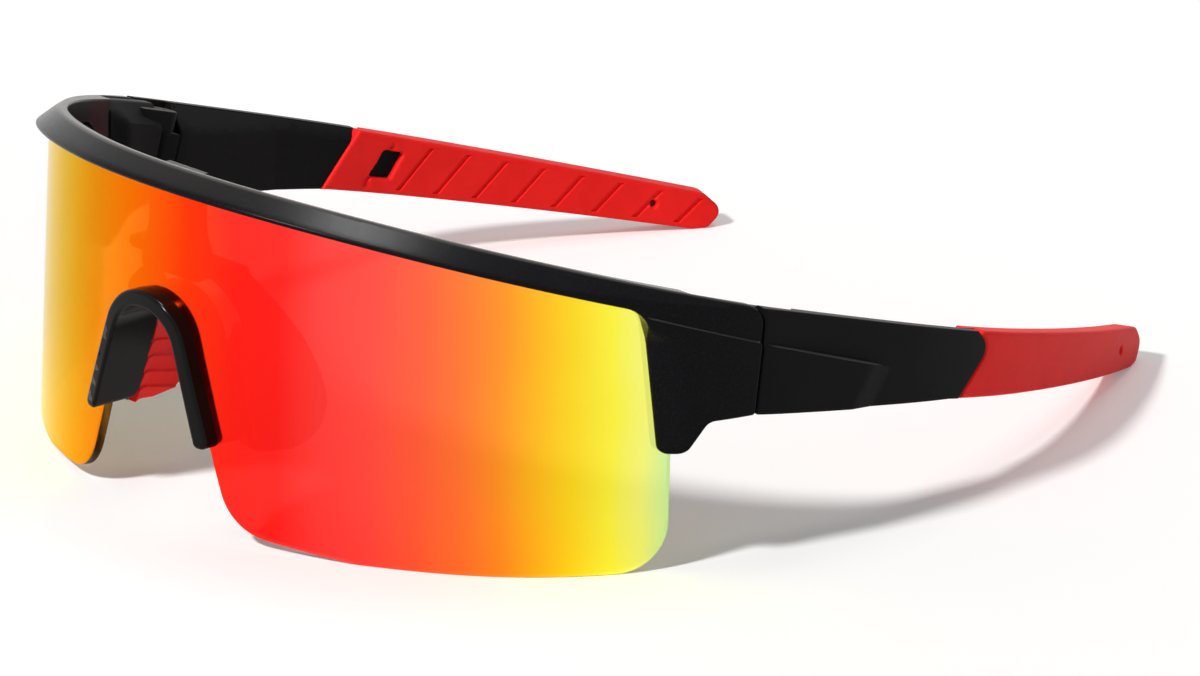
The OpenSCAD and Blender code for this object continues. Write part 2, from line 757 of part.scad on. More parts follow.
// Glossy clip: an inverted V with round ends over the edge of the notch
module nose_bridge() {
    clip_side = rounded([
        [-reach, clip_low_z, 0],
        [clip_back_u, clip_low_z, clip_back_r],
        [clip_back_u, brow_z, 0],
        [-reach, brow_z, 0]]);
    leg_outline = rounded([
        [clip_in_x, clip_low_z, clip_end_r],
        [clip_out_x, clip_low_z, clip_end_r],
        [clip_top_out_x, clip_top_z, clip_out_r],
        [-clip_top_out_x, clip_top_z, clip_out_r],
        [-clip_out_x, clip_low_z, clip_end_r],
        [-clip_in_x, clip_low_z, clip_end_r],
        [-clip_top_in_x, clip_in_z, clip_in_r],
        [clip_top_in_x, clip_in_z, clip_in_r]]);
    color(clip_black) placed() difference() {
        intersection() {
            raked_wall() front_strip(centre_turn, -2 * clip_back_u, clip_proud);
            front_prism(leg_outline, -over, clip_back_u);
            side_prism(clip_side);
        }
        difference() {
            raked_wall() front_strip(centre_turn, -lens_t - fit_gap, fit_gap);
            front_prism(notch_outline(fit_gap), -over, clip_back_u);
        }
    }
}

// Soft pad with stepped ridges on the nose side
module nose_pad(left) {
    color(rubber_red) placed() on_side(left)
        loft([for (row = pad_rows) blade_ring(row.x, row.y, pad_t - fit_gap)]);
}

// Line of the flat upper facet in plan, which starts flush at the seam
facet_end_u = hinge_u + facet_back;
facet_rear = [half_x(facet_end_u, temple_out), facet_end_u];
facet_seam = [half_x(seam_top_u, bar_proud), seam_top_u];
facet_front = facet_rear + (facet_seam - facet_rear) * 2;

// Blade of the temple in plan: full curve, upper facet and inner swelling toward the hinge
module temple_plan() {
    taper_from_u = hinge_u + taper_from;
    taper_to_u = hinge_u + taper_to;
    side_strip(cheek_turn, tip_turn, -temple_in, temple_out);
    intersection() {
        side_strip(cheek_turn, tip_turn, -lug_inner, bar_proud);
        polygon([
            [0, elbow_u / 2],
            [half_x(taper_from_u, -lug_inner), taper_from_u],
            [half_x(taper_to_u, -temple_in), taper_to_u],
            facet_rear,
            facet_front]);
    }
}

// Round front corner at the top, where the temple reaches over the lug
seam_outline = rounded([
    [seam_top_u - over, top_z(seam_top_u - over), 0],
    [seam_top_u, top_z(seam_top_u), seam_top_r],
    [seam_low_u, low_z(seam_low_u) - over, 0],
    [seam_top_u - 2 * over, low_z(seam_low_u) - over, 0],
    [seam_top_u - 2 * over, top_z(seam_top_u - 2 * over) - over, 0]]);

// Cuts the slanted ramp at the end of the raised panel
module ramp_cutter() {
    ramp_u = hinge_u + ramp_back;
    translate([half_x(ramp_u, bar_proud + panel_h), ramp_u, top_z(ramp_u) - ramp_drop])
        rotate([-ramp_lean, 0, 0])
            rotate([0, 0, ramp_dip])
                translate([0, 0, -brow_z]) cube([brow_z, brow_z, 2 * brow_z]);
}

// Blade from the seam to the tip, before hinge and sleeve are cut
module temple_blade() {
    intersection() {
        union() {
            upright_wall() temple_plan();
            difference() {
                intersection() {
                    upright_wall() side_strip(cheek_turn, tip_turn, 0, bar_proud + panel_h);
                    side_prism(below_crease(elbow_u));
                }
                ramp_cutter();
            }
        }
        side_prism(temple_outline);
    }
}

// Room taken by a sleeve: its outer layer has a rounded front edge, its inner layer a straight one
module sleeve_zone(gap) {
    cuff_top_u = hinge_u + cuff_top_back;
    cuff_nose_u = hinge_u + cuff_nose_back;
    cuff_low_u = hinge_u + cuff_low_back;
    outer_edge = rounded([
        [cuff_top_u - gap, top_z(cuff_top_u), 0],
        [cuff_nose_u - gap, top_z(cuff_nose_u) - cuff_nose_drop, cuff_r],
        [cuff_low_u - gap, low_z(cuff_low_u), 0],
        [cuff_low_u - gap, -over, 0],
        [reach, -over, 0],
        [reach, brow_z, 0],
        [cuff_top_u - gap, brow_z, 0]]);
    inner_edge = [
        [cuff_in_top_u - gap, top_z(cuff_in_top_u)],
        [cuff_in_low_u - gap, low_z(cuff_in_low_u)],
        [cuff_in_low_u - gap, -over],
        [reach, -over],
        [reach, brow_z],
        [cuff_in_top_u - gap, brow_z]];
    middle = temple_out - sleeve_wall - core_t / 2;
    intersection() {
        upright_wall() side_strip(cheek_turn, tip_turn, middle - fit_gap, over);
        side_prism(outer_edge);
    }
    intersection() {
        upright_wall() side_strip(cheek_turn, tip_turn, -2 * over, middle + gap);
        side_prism(inner_edge);
    }
}

// Flat core inside a sleeve, grown by a gap
module sleeve_core(gap) {
    rim = sleeve_rim - gap;
    start = cuff_in_low_u - over;
    outer = temple_out - sleeve_wall;
    intersection() {
        upright_wall() side_strip(cheek_turn, tip_turn, outer - core_t - gap, outer + gap);
        side_prism(rounded([
            [start, top_z(start) - rim, 0],
            [start, low_z(start) + rim, 0],
            [elbow_u, low_z(elbow_u) + rim, 0],
            [core_end_u + gap, low_z(core_end_u) + rim, tip_z / 3],
            [core_end_u + gap, top_z(core_end_u) - rim, tip_z / 3]]));
    }
}

// Hole for a retainer cord, square to the temple
module cord_hole() {
    middle = (temple_out - sleeve_in) / 2;
    height = (top_z(cord_hole_u) + low_z(cord_hole_u)) / 2;
    translate([half_x(cord_hole_u, middle), cord_hole_u, height])
        rotate([0, 90, heading_at(cord_hole_u, middle) - 90])
            cylinder(r = cord_hole_r, h = 2 * over, center = true);
}

// Tongue between the fork's knuckles
module tongue() {
    at_hinge() translate([0, 0, -tongue_h / 2]) {
        cylinder(r = knuckle_r, h = tongue_h);
        translate([-knuckle_r, 0, 0]) cube([2 * knuckle_r, temple_stop + fit_gap, tongue_h]);
    }
}

module temple(left) {
    color(frame_black) placed() on_side(left) difference() {
        union() {
            difference() {
                temple_blade();
                hinge_block(-hinge_x, skin_x + 2 * fit_gap, -reach, temple_stop);
                translate([0, seam_gap, 0]) side_prism(seam_outline);
                sleeve_zone(fit_gap);
            }
            sleeve_core(0);
            tongue();
        }
        pin_bore();
        cord_hole();
    }
}

// Slanted grooves across the inner face of the sleeve
module sleeve_grooves() {
    intersection() {
        upright_wall() side_strip(cheek_turn, tip_turn, -2 * sleeve_in, groove_d - sleeve_in);
        side_prism([
            [cuff_in_low_u, top_z(cuff_in_low_u) - groove_margin],
            [tip_top_u, top_z(tip_top_u) - groove_margin],
            [tip_top_u, groove_margin],
            [heel_u, groove_margin],
            [cuff_in_low_u, low_z(cuff_in_low_u) + groove_margin]]);
        for (k = [0:groove_count - 1])
            let (u = hinge_u + groove_back + k * groove_pitch)
            translate([0, u, (top_z(u) + low_z(u)) / 2])
                rotate([-45, 0, 0])
                    cube([reach, groove_w, 4 * over], center = true);
    }
}

// Window in the inner face that shows the core
module sleeve_window() {
    window_u = hinge_u + window_back;
    middle_z = (top_z(window_u) + low_z(window_u)) / 2;
    lean = window_h / 2;
    core_middle = temple_out - sleeve_wall - core_t / 2;
    intersection() {
        upright_wall() side_strip(cheek_turn, tip_turn, -2 * sleeve_in, core_middle);
        side_prism(rounded([
            for (c = [[-1, -1], [1, -1], [1, 1], [-1, 1]]) [
                window_u + c.x * window_l / 2 + c.y * lean * 2 / 3,
                middle_z + c.y * window_h / 2 - c.x * window_l / 8,
                window_h / 8]]));
    }
}

module temple_sleeve(left) {
    color(rubber_red) placed() on_side(left) difference() {
        intersection() {
            upright_wall() side_strip(cheek_turn, tip_turn, -sleeve_in, temple_out);
            side_prism(temple_outline);
            sleeve_zone(0);
        }
        sleeve_core(fit_gap);
        sleeve_grooves();
        sleeve_window();
        cord_hole();
    }
}

module hinge_screw(left) {
    color(screw_steel) placed() on_side(left) at_hinge() {
        translate([0, 0, -fork_h / 2]) cylinder(r = pin_r, h = fork_h);
        translate([0, 0, -fork_h / 2 - head_h]) difference() {
            cylinder(r = head_r, h = head_h);
            cube([over, slot_w, head_h], center = true);
        }
    }
}

frame_front();
shield_lens();
nose_bridge();
nose_pad(true);  // nose_pad_left
nose_pad(false);  // nose_pad_right
temple(true);  // temple_left
temple(false);  // temple_right
temple_sleeve(true);  // temple_sleeve_left
temple_sleeve(false);  // temple_sleeve_right
hinge_screw(true);  // hinge_screw_left
hinge_screw(false);  // hinge_screw_right
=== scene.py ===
import math

import bmesh
import bpy
import numpy as np
from mathutils import Matrix, Vector, geometry


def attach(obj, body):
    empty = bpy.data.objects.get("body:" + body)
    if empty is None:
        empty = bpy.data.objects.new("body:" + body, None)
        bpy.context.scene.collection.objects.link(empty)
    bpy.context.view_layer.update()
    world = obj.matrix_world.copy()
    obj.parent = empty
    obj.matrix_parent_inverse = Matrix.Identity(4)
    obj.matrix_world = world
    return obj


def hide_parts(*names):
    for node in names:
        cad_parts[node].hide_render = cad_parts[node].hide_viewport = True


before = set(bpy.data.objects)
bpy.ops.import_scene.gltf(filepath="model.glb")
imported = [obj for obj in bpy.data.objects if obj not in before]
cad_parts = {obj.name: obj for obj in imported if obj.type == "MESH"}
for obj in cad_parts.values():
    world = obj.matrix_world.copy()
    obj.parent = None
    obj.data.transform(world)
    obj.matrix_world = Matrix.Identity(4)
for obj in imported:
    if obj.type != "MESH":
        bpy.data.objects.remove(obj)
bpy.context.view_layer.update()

# Sizes are in millimetres until a place function turns them into metres of the frame.
# Depth u runs back from the brow, height z up from the floor, and an offset outward from the curve.
MM = 0.001

# Camera fitted to the photograph, with its angles in degrees
CAMERA_PLACE = (558.709, -566.334, 277.627)
CAMERA_AZIMUTH = 44.126
CAMERA_ELEVATION = 18.609
CAMERA_ROLL = 2.019
CAMERA_LENS = 159.684
SENSOR_WIDTH = 36


def new_object(name, data):
    thing = bpy.data.objects.new(name, data)
    bpy.context.scene.collection.objects.link(thing)
    return thing


def add_camera():
    azimuth = math.radians(CAMERA_AZIMUTH)
    elevation = math.radians(CAMERA_ELEVATION)
    roll = math.radians(CAMERA_ROLL)
    back = Vector((
        math.sin(azimuth) * math.cos(elevation),
        -math.cos(azimuth) * math.cos(elevation),
        math.sin(elevation)))
    right = Vector((math.cos(azimuth), math.sin(azimuth), 0))
    up = back.cross(right)
    x = right * math.cos(roll) + up * math.sin(roll)
    y = up * math.cos(roll) - right * math.sin(roll)
    place = Vector(CAMERA_PLACE) * MM
    data = bpy.data.cameras.new("camera")
    data.sensor_width = SENSOR_WIDTH
    data.lens = CAMERA_LENS
    data.clip_start = 0.01
    data.clip_end = 50
    camera = new_object("camera", data)
    camera.matrix_world = Matrix((
        (x.x, y.x, back.x, place.x),
        (x.y, y.y, back.y, place.y),
        (x.z, y.z, back.z, place.z),
        (0, 0, 0, 1)))
    bpy.context.scene.camera = camera


def clamp(value, low=0.0, high=1.0):
    return max(low, min(high, value))


def step(value, width):
    """Rises from 0 to 1 across a width about zero."""
    return clamp(value / width + 0.5)


# Curve of the front seen from above: its arcs' radii and the headings in degrees where they end.
# A point of the curve is given by its heading (turn), its length along the curve or its depth.
RADII = (57, 100, 61, 368, 128, 278)
TURNS = (20, 36, 86, 90, 104, 130)
ARC_STARTS = [math.radians(turn) for turn in (0, *TURNS[:-1])]
# Depth of the frame's origin, and the offset of the outer face of bar and lugs
MIDDLE_U = 85.0534
FRAME_SKIN = 2


def outward(turn):
    return math.sin(turn), -math.cos(turn)


CENTRES = [(0.0, RADII[0])]
LENGTHS = [0.0]
for i, (start, turn) in enumerate(zip((0, *TURNS), TURNS)):
    LENGTHS.append(LENGTHS[-1] + RADII[i] * math.radians(turn - start))
    if i + 1 < len(RADII):
        way = outward(math.radians(turn))
        CENTRES.append(tuple(
            CENTRES[-1][k] + (RADII[i] - RADII[i + 1]) * way[k] for k in range(2)))


def arc_at_turn(turn):
    return next((i for i, t in enumerate(TURNS) if turn <= math.radians(t)), len(TURNS) - 1)


def curve_point(turn, offset):
    """Half width and depth of the curve at a heading in radians, moved outward by an offset."""
    i = arc_at_turn(turn)
    way = outward(turn)
    return tuple(CENTRES[i][k] + (RADII[i] + offset) * way[k] for k in range(2))


ARC_ENDS = [curve_point(math.radians(turn), 0)[1] for turn in TURNS]


def arc_at_depth(u):
    return next((i for i, end in enumerate(ARC_ENDS) if u < end), len(TURNS) - 1)


def turn_at(u):
    i = arc_at_depth(u)
    return math.acos(clamp((CENTRES[i][1] - u) / RADII[i], -1))


def turn_at_x(x):
    """Heading at a half width, on the first two arcs."""
    i = 0 if x < RADII[0] * math.sin(ARC_STARTS[1]) else 1
    return math.asin((x - CENTRES[i][0]) / RADII[i])


def length_at(turn):
    i = arc_at_turn(turn)
    return LENGTHS[i] + RADII[i] * (turn - ARC_STARTS[i])


def turn_of(length):
    i = next((k for k in range(len(TURNS)) if length <= LENGTHS[k + 1]), len(TURNS) - 1)
    return ARC_STARTS[i] + (length - LENGTHS[i]) / RADII[i]


def depth_of(length):
    return curve_point(turn_of(length), 0)[1]


def half_x(u, offset):
    """Half width of the curve at a depth, moved outward by an offset."""
    i = arc_at_depth(u)
    radius = RADII[i] + offset
    return CENTRES[i][0] + math.sqrt(max(0, radius * radius - (CENTRES[i][1] - u) ** 2))


# Edges seen from the side

BROW_Z = 54.9
TIP_TOP_U, TIP_TOP_Z = 168.2, 6.35
TOP_FALL = (BROW_Z - TIP_TOP_Z) / TIP_TOP_U
TOP_SLOPE = math.atan(TOP_FALL)
RAKE = math.radians(2)
HINGE_U = 58.8


def top_z(u):
    return BROW_Z - u * TOP_FALL


SEAM_LOW_U, SEAM_TOP_U, SEAM_ROUND = HINGE_U - 3.5, HINGE_U - 2.1, 3.4
ELBOW_U, HEEL_U, TOE_U, TIP_U = HINGE_U + 38.5, 166.2, 169.0, 171.7
ELBOW_Z = top_z(ELBOW_U) - 11.2
BLADE_Z = top_z(SEAM_LOW_U) - 16.3
CREASE_DROP, CREASE_TILT, CREASE_WIDTH = 5.4, math.radians(2.75), 0.2


def low_z(u):
    if u > ELBOW_U:
        return ELBOW_Z * (HEEL_U - u) / (HEEL_U - ELBOW_U)
    return ELBOW_Z + (BLADE_Z - ELBOW_Z) * (ELBOW_U - u) / (ELBOW_U - SEAM_LOW_U)


def middle_z(u):
    return (top_z(u) + low_z(u)) / 2


def crease_z(u):
    return top_z(SEAM_TOP_U) - CREASE_DROP - (u - SEAM_TOP_U) * math.tan(TOP_SLOPE + CREASE_TILT)


# The wall of the front leans by the rake, so it has its own depth and height

def wall_top(u):
    fall = math.sin(RAKE) - math.cos(RAKE) * TOP_FALL
    return (BROW_Z + u * fall) / (math.cos(RAKE) + math.sin(RAKE) * TOP_FALL)


def wall_height(u, z):
    """Height along the wall of the point that has a depth on the wall and a height in the frame."""
    return (z + u * math.sin(RAKE)) / math.cos(RAKE)


def to_wall(u, z):
    return u * math.cos(RAKE) - z * math.sin(RAKE), u * math.sin(RAKE) + z * math.cos(RAKE)


def from_wall(u, z):
    return u * math.cos(RAKE) + z * math.sin(RAKE), -u * math.sin(RAKE) + z * math.cos(RAKE)


# Places in the frame, in metres: each takes two coordinates on the skin and an offset outward

def lens_place(length, height, offset):
    side = -1 if length < 0 else 1
    x, u = curve_point(turn_of(abs(length)), offset)
    u, z = from_wall(u, height)
    return Vector((side * x, u - MIDDLE_U, z)) * MM


def bar_place(length, drop, offset):
    u = curve_point(turn_of(abs(length)), offset)[1]
    return lens_place(length, wall_top(u) - drop, offset)


def temple_place(length, height, offset):
    x, u = curve_point(turn_of(length), offset)
    return Vector((x, u - MIDDLE_U, height)) * MM


def face_place(x, z, offset):
    return Vector((x, -offset - MIDDLE_U, z)) * MM


# Coordinates on the skin of a point given in the side view

def bar_spot(u, z):
    u, z = to_wall(u, z)
    return length_at(turn_at(u)), wall_top(u) - z


def lens_spot(u, z):
    u, z = to_wall(u, z)
    return length_at(turn_at(u)), z


def temple_spot(u, z):
    return length_at(turn_at(u)), z


# Hinge, whose screw stands square to the top edge

HINGE_X = curve_point(turn_at(HINGE_U), FRAME_SKIN)[0] - 4.3
HINGE_Z = top_z(HINGE_U) - 7.5
# Eye around the screw, and how far the fork reaches forward and the tongue back from it
KNUCKLE_HALF, KNUCKLE_ROUND = 2.2, 2.19
FORK_REACH, TONGUE_REACH = 6, 2.75
FORK_LEVELS, TONGUE_LEVEL = ((-6.2, -2.9), (2.9, 6.2)), 2.75


def hinge_place(x, y, height):
    """Point in the hinge's own axes: y runs back along the top edge, height along the screw."""
    return Vector((
        HINGE_X + x,
        HINGE_U + y * math.cos(TOP_SLOPE) + height * math.sin(TOP_SLOPE) - MIDDLE_U,
        HINGE_Z - y * math.sin(TOP_SLOPE) + height * math.cos(TOP_SLOPE))) * MM


def hinge_back(u, z):
    """How far behind the screw a point of the side view is, along the top edge."""
    return (u - HINGE_U) * math.cos(TOP_SLOPE) - (z - HINGE_Z) * math.sin(TOP_SLOPE)


def hinge_cut(z, behind):
    """Depth at a height of the line that runs beside the screw, so far behind it."""
    return HINGE_U + (behind + (z - HINGE_Z) * math.sin(TOP_SLOPE)) / math.cos(TOP_SLOPE)


# Outlines

def rounded(corners, steps=8):
    """Closed outline whose corners (x, y, radius) are rounded."""
    points = []
    for i, (x, y, radius) in enumerate(corners):
        p = Vector((x, y))
        a = Vector(corners[i - 1][:2])
        b = Vector(corners[(i + 1) % len(corners)][:2])
        if not radius:
            points.append(p)
            continue
        e, f = (a - p).normalized(), (b - p).normalized()
        half = e.angle(f) / 2
        middle = p + (e + f).normalized() * radius / math.sin(half)
        first = p + e * radius / math.tan(half) - middle
        last = p + f * radius / math.tan(half) - middle
        start = math.atan2(first.y, first.x)
        turn = (math.atan2(last.y, last.x) - start + math.pi) % (2 * math.pi) - math.pi
        for k in range(steps + 1):
            angle = start + turn * k / steps
            points.append(middle + Vector((math.cos(angle), math.sin(angle))) * radius)
    return points


def both_sides(half):
    """Corners of a symmetric outline from those of its right half."""
    return half + [(-x, z, radius) for x, z, radius in reversed(half)]


def dense(points, spacing, closed=True):
    result = []
    last = len(points) if closed else len(points) - 1
    for i in range(last):
        a, b = points[i], points[(i + 1) % len(points)]
        count = max(1, math.ceil((b - a).length / spacing))
        result += [a + (b - a) * k / count for k in range(count)]
    if not closed:
        result.append(points[-1])
    return result


def spots(points, spot):
    return [Vector(spot(p.x, p.y)) for p in points]


def without_twins(points, least=0.02):
    kept = [points[0]]
    for p in points[1:]:
        if (p - kept[-1]).length > least:
            kept.append(p)
    if (kept[-1] - kept[0]).length < least:
        kept.pop()
    return kept


def mirrored_line(line):
    return [Vector((-p.x, p.y)) for p in line]


def mirrored_loop(chain):
    """Closed symmetric outline from its left half, which starts and ends in the middle."""
    return without_twins(chain + mirrored_line(chain[-2:0:-1]))


def twin_lines(line, gap):
    """The two sides of a line, half a gap to each side."""
    sides = [[], []]
    for i, p in enumerate(line):
        way = (line[min(i + 1, len(line) - 1)] - line[max(i - 1, 0)]).normalized()
        for side, sign in zip(sides, (1, -1)):
            side.append(p + Vector((-way.y, way.x)) * sign * gap / 2)
    return sides


def knuckle(way, reach):
    """Outline around the screw, which reaches forward if the way is 1 and back if it is -1."""
    half = way * KNUCKLE_HALF
    return dense(rounded([
        (-half, -way * reach, 0), (half, -way * reach, 0),
        (half, half, KNUCKLE_ROUND), (-half, half, KNUCKLE_ROUND)], 12), 1)


def area(points):
    return sum(p.x * q.y - q.x * p.y for p, q in zip(points, points[1:] + points[:1])) / 2


def inset(points, distance):
    result = []
    for i, p in enumerate(points):
        d = (p - points[i - 1]).normalized()
        e = (points[(i + 1) % len(points)] - p).normalized()
        m, n = Vector((-d.y, d.x)), Vector((-e.y, e.x))
        result.append(p + (m + n) * distance / max(0.4, 1 + m.dot(n)))
    return result


def ring_distance(places, ring):
    """Distance of many places from a closed ring, and whether each is inside it."""
    a = np.array([tuple(p) for p in ring])
    b = np.roll(a, -1, axis=0)
    best = np.full(len(places), 1e9)
    inside = np.zeros(len(places), bool)
    for p, q in zip(a, b):
        way = q - p
        share = np.clip(((places - p) @ way) / (way @ way), 0, 1)
        best = np.minimum(best, np.hypot(*(places - p - share[:, None] * way).T))
        crosses = (p[1] > places[:, 1]) != (q[1] > places[:, 1])
        if q[1] != p[1]:
            at = p[0] + (places[:, 1] - p[1]) / (q[1] - p[1]) * way[0]
            inside ^= crosses & (places[:, 0] < at)
    return best, inside


def line_distance(places, line):
    a = np.array([tuple(p) for p in line])
    best = np.full(len(places), 1e9)
    for p, q in zip(a, a[1:]):
        way = q - p
        share = np.clip(((places - p) @ way) / max(way @ way, 1e-9), 0, 1)
        best = np.minimum(best, np.hypot(*(places - p - share[:, None] * way).T))
    return best


# Plates: two skins over one outline, with rounded edges, and lofts through rings

EDGE_STEPS = 4
EDGE_LAND = 0.12
# Shares of a cell: height of a row of the net, and how far the net keeps from rings and lines
ROW_SHARE, RING_SHARE, LINE_SHARE = 0.87, 0.45, 0.4
WELD = 0.0001
# How deep two plates of one piece reach into each other
OVERLAP = 0.05


def band(form, row, following, slot=0):
    """Faces between two closed rows with the same number of corners."""
    for i in range(len(row)):
        j = (i + 1) % len(row)
        form.faces.new((row[i], row[j], following[j], following[i])).material_index = slot


def edge_rows(form, loop, place, surface, way, radius, slot):
    """Rounded edge along a loop, as its first and last row of points and corners."""
    rows = []
    for k in range(EDGE_STEPS + 2):
        angle = math.pi / 2 * min(1, k / EDGE_STEPS)
        inward = radius * (1 - math.cos(angle)) + (EDGE_LAND if k > EDGE_STEPS else 0)
        sink = radius * (1 - math.sin(angle))
        points = inset(loop, inward)
        rows.append((points, [
            form.verts.new(place(p.x, p.y, surface(p.x, p.y) - way * sink)) for p in points]))
    for (_, row), (_, following) in zip(rows, rows[1:]):
        band(form, row, following, slot)
    return rows[0], rows[-1]


def net_points(borders, lines, cell):
    """Net of points inside the first border and outside the others, clear of the lines."""
    outer = np.array([tuple(p) for p in borders[0]])
    low, high = outer.min(axis=0), outer.max(axis=0)
    xs = np.arange(low[0], high[0], cell)
    ys = np.arange(low[1], high[1], cell * ROW_SHARE)
    net = np.array([(x + (cell / 2 if j % 2 else 0), y) for j, y in enumerate(ys) for x in xs])
    for k, border in enumerate(borders):
        distance, inside = ring_distance(net, border)
        net = net[(inside if k == 0 else ~inside) & (distance > cell * RING_SHARE)]
    for line in lines:
        net = net[line_distance(net, line) > cell * LINE_SHARE]
    return net


def skin(form, loops, place, surface, way, radius, cell, lines, slot):
    """One side of a plate: a rounded edge along each loop, then a fine triangle net."""
    edges_made = [edge_rows(form, loop, place, surface, way, radius, slot) for loop in loops]
    borders = [points for _, (points, _) in edges_made]
    coords, edges, known = [], [], []
    for _, (points, corners) in edges_made:
        base, count = len(coords), len(points)
        coords += points
        known += corners
        edges += [(base + i, base + (i + 1) % count) for i in range(count)]
    for line in lines:
        base = len(coords)
        coords += line
        edges += [(base + i, base + i + 1) for i in range(len(line) - 1)]
    coords += [Vector(p) for p in net_points(borders, lines, cell)]
    found, _, faces, origins, _, _ = geometry.delaunay_2d_cdt(coords, edges, [], 0, WELD)
    middles = np.array([
        tuple(sum((found[i] for i in face), Vector((0, 0))) / len(face)) for face in faces])
    kept = np.ones(len(faces), bool)
    for k, border in enumerate(borders):
        inside = ring_distance(middles, border)[1]
        kept &= inside if k == 0 else ~inside
    verts = []
    for p, origin in zip(found, origins):
        old = next((k for k in origin if k < len(known)), None)
        if old is None:
            verts.append(form.verts.new(place(p.x, p.y, surface(p.x, p.y))))
        else:
            verts.append(known[old])
    for face, inside in zip(faces, kept):
        corners = [verts[i] for i in face]
        if inside and len(set(corners)) == 3:
            form.faces.new(corners).material_index = slot
    return [corners for (_, corners), _ in edges_made]


def plate(form, outline, place, outer, inner, radii, cell,
          holes=(), lines=((), ()), slots=(0, 0)):
    """Closed plate over an outline, between an outer and an inner surface, with rounded edges."""
    loops = [outline if area(outline) > 0 else outline[::-1]]
    loops += [hole[::-1] if area(hole) > 0 else hole for hole in holes]
    front = skin(form, loops, place, outer, 1, radii[0], cell, lines[0], slots[0])
    back = skin(form, loops, place, inner, -1, radii[1], cell, lines[1], slots[1])
    for near, far in zip(front, back):
        band(form, near, far, slots[1])


def flat(offset):
    return lambda a, b: offset


def loft(form, rings):
    """Closed skin through rings with the same number of points, in metres."""
    rows = [[form.verts.new(p) for p in ring] for ring in rings]
    for row, following in zip(rows, rows[1:]):
        band(form, row, following)
    for row in (rows[0], rows[-1]):
        form.faces.new(row)


def register(piece, node, body):
    """Makes a piece ride on a body and stand for a CAD node."""
    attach(piece, body)
    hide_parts(node)


def finish_piece(form, name, node, body, materials, mirrored=False, soften=34):
    """Turns a form into an object that rides on a body and stands for a CAD node."""
    if mirrored:
        bmesh.ops.scale(form, vec=(-1, 1, 1), verts=form.verts)
    bmesh.ops.recalc_face_normals(form, faces=form.faces)
    mesh = bpy.data.meshes.new(name)
    form.to_mesh(mesh)
    form.free()
    for material in materials:
        mesh.materials.append(material)
    piece = new_object(name, mesh)
    mesh.shade_smooth()
    mesh.set_sharp_from_angle(angle=math.radians(soften))
    weighted = piece.modifiers.new("normals", "WEIGHTED_NORMAL")
    weighted.keep_sharp = True
    register(piece, node, body)


# Node helpers

def new_material(name):
    material = bpy.data.materials.new(name)
    material.use_nodes = True
    tree = material.node_tree
    return material, tree.nodes, tree.links, tree.nodes["Principled BSDF"]


def put(node, **values):
    """Sets constant inputs, named with underscores for the spaces."""
    for key, value in values.items():
        node.inputs[key.replace("_", " ")].default_value = value


def add(nodes, kind, **settings):
    node = nodes.new(kind)
    for key, value in settings.items():
        setattr(node, key, value)
    return node


def object_coordinates(nodes):
    return add(nodes, "ShaderNodeTexCoord").outputs["Object"]


def noise(nodes, links, scale, detail=2.0):
    node = add(nodes, "ShaderNodeTexNoise")
    put(node, Scale=scale, Detail=detail)
    links.new(object_coordinates(nodes), node.inputs["Vector"])
    return node.outputs["Fac"]


def calculated(nodes, links, operation, first, second):
    """Result of a Math node on two values, each a float or a socket."""
    node = add(nodes, "ShaderNodeMath", operation=operation)
    for socket, value in zip(node.inputs, (first, second)):
        if isinstance(value, float):
            socket.default_value = value
        else:
            links.new(value, socket)
    return node.outputs["Value"]


def ramp(nodes, links, source, stops):
    node = add(nodes, "ShaderNodeValToRGB")
    elements = node.color_ramp.elements
    while len(elements) < len(stops):
        elements.new(0.5)
    for element, (position, colour) in zip(elements, stops):
        element.position = position
        element.color = (*colour, 1)
    links.new(source, node.inputs["Fac"])
    return node.outputs["Color"]


def two_tone(nodes, links, scale, first, second, detail=2.0):
    return ramp(nodes, links, noise(nodes, links, scale, detail), [(0.3, first), (0.7, second)])


def span(nodes, links, source, low, high, first=0.0, last=1.0):
    """Takes a value from the range first to last into the range low to high."""
    node = add(nodes, "ShaderNodeMapRange")
    put(node, From_Min=first, From_Max=last, To_Min=low, To_Max=high)
    links.new(source, node.inputs["Value"])
    return node.outputs["Result"]


def roughen(nodes, links, shader, scale, low, high):
    source = span(nodes, links, noise(nodes, links, scale), low, high)
    links.new(source, shader.inputs["Roughness"])


def bump(nodes, links, shader, source, distance):
    node = add(nodes, "ShaderNodeBump")
    put(node, Strength=1.0, Distance=distance)
    links.new(source, node.inputs["Height"])
    links.new(node.outputs["Normal"], shader.inputs["Normal"])


WHITE = (1, 1, 1, 1)
# Paler colour painted on upward faces as sheen, for the light they catch from above
TOP_SHEEN_COLOUR = (0.075, 0.069, 0.064, 1)


def painted_top_sheen(nodes, links, colour):
    """Painted sheen: faces that point straight up get a paler colour, standing in for the light
    they catch from above.
    """
    normal = add(nodes, "ShaderNodeSeparateXYZ")
    links.new(add(nodes, "ShaderNodeNewGeometry").outputs["Normal"], normal.inputs["Vector"])
    mix = add(nodes, "ShaderNodeMix", data_type="RGBA")
    upward = span(nodes, links, normal.outputs["Z"], 0.0, 1.0, 0.8, 0.97)
    links.new(upward, mix.inputs["Factor"])
    links.new(colour, mix.inputs["A"])
    mix.inputs["B"].default_value = TOP_SHEEN_COLOUR
    return mix.outputs["Result"]


# Materials

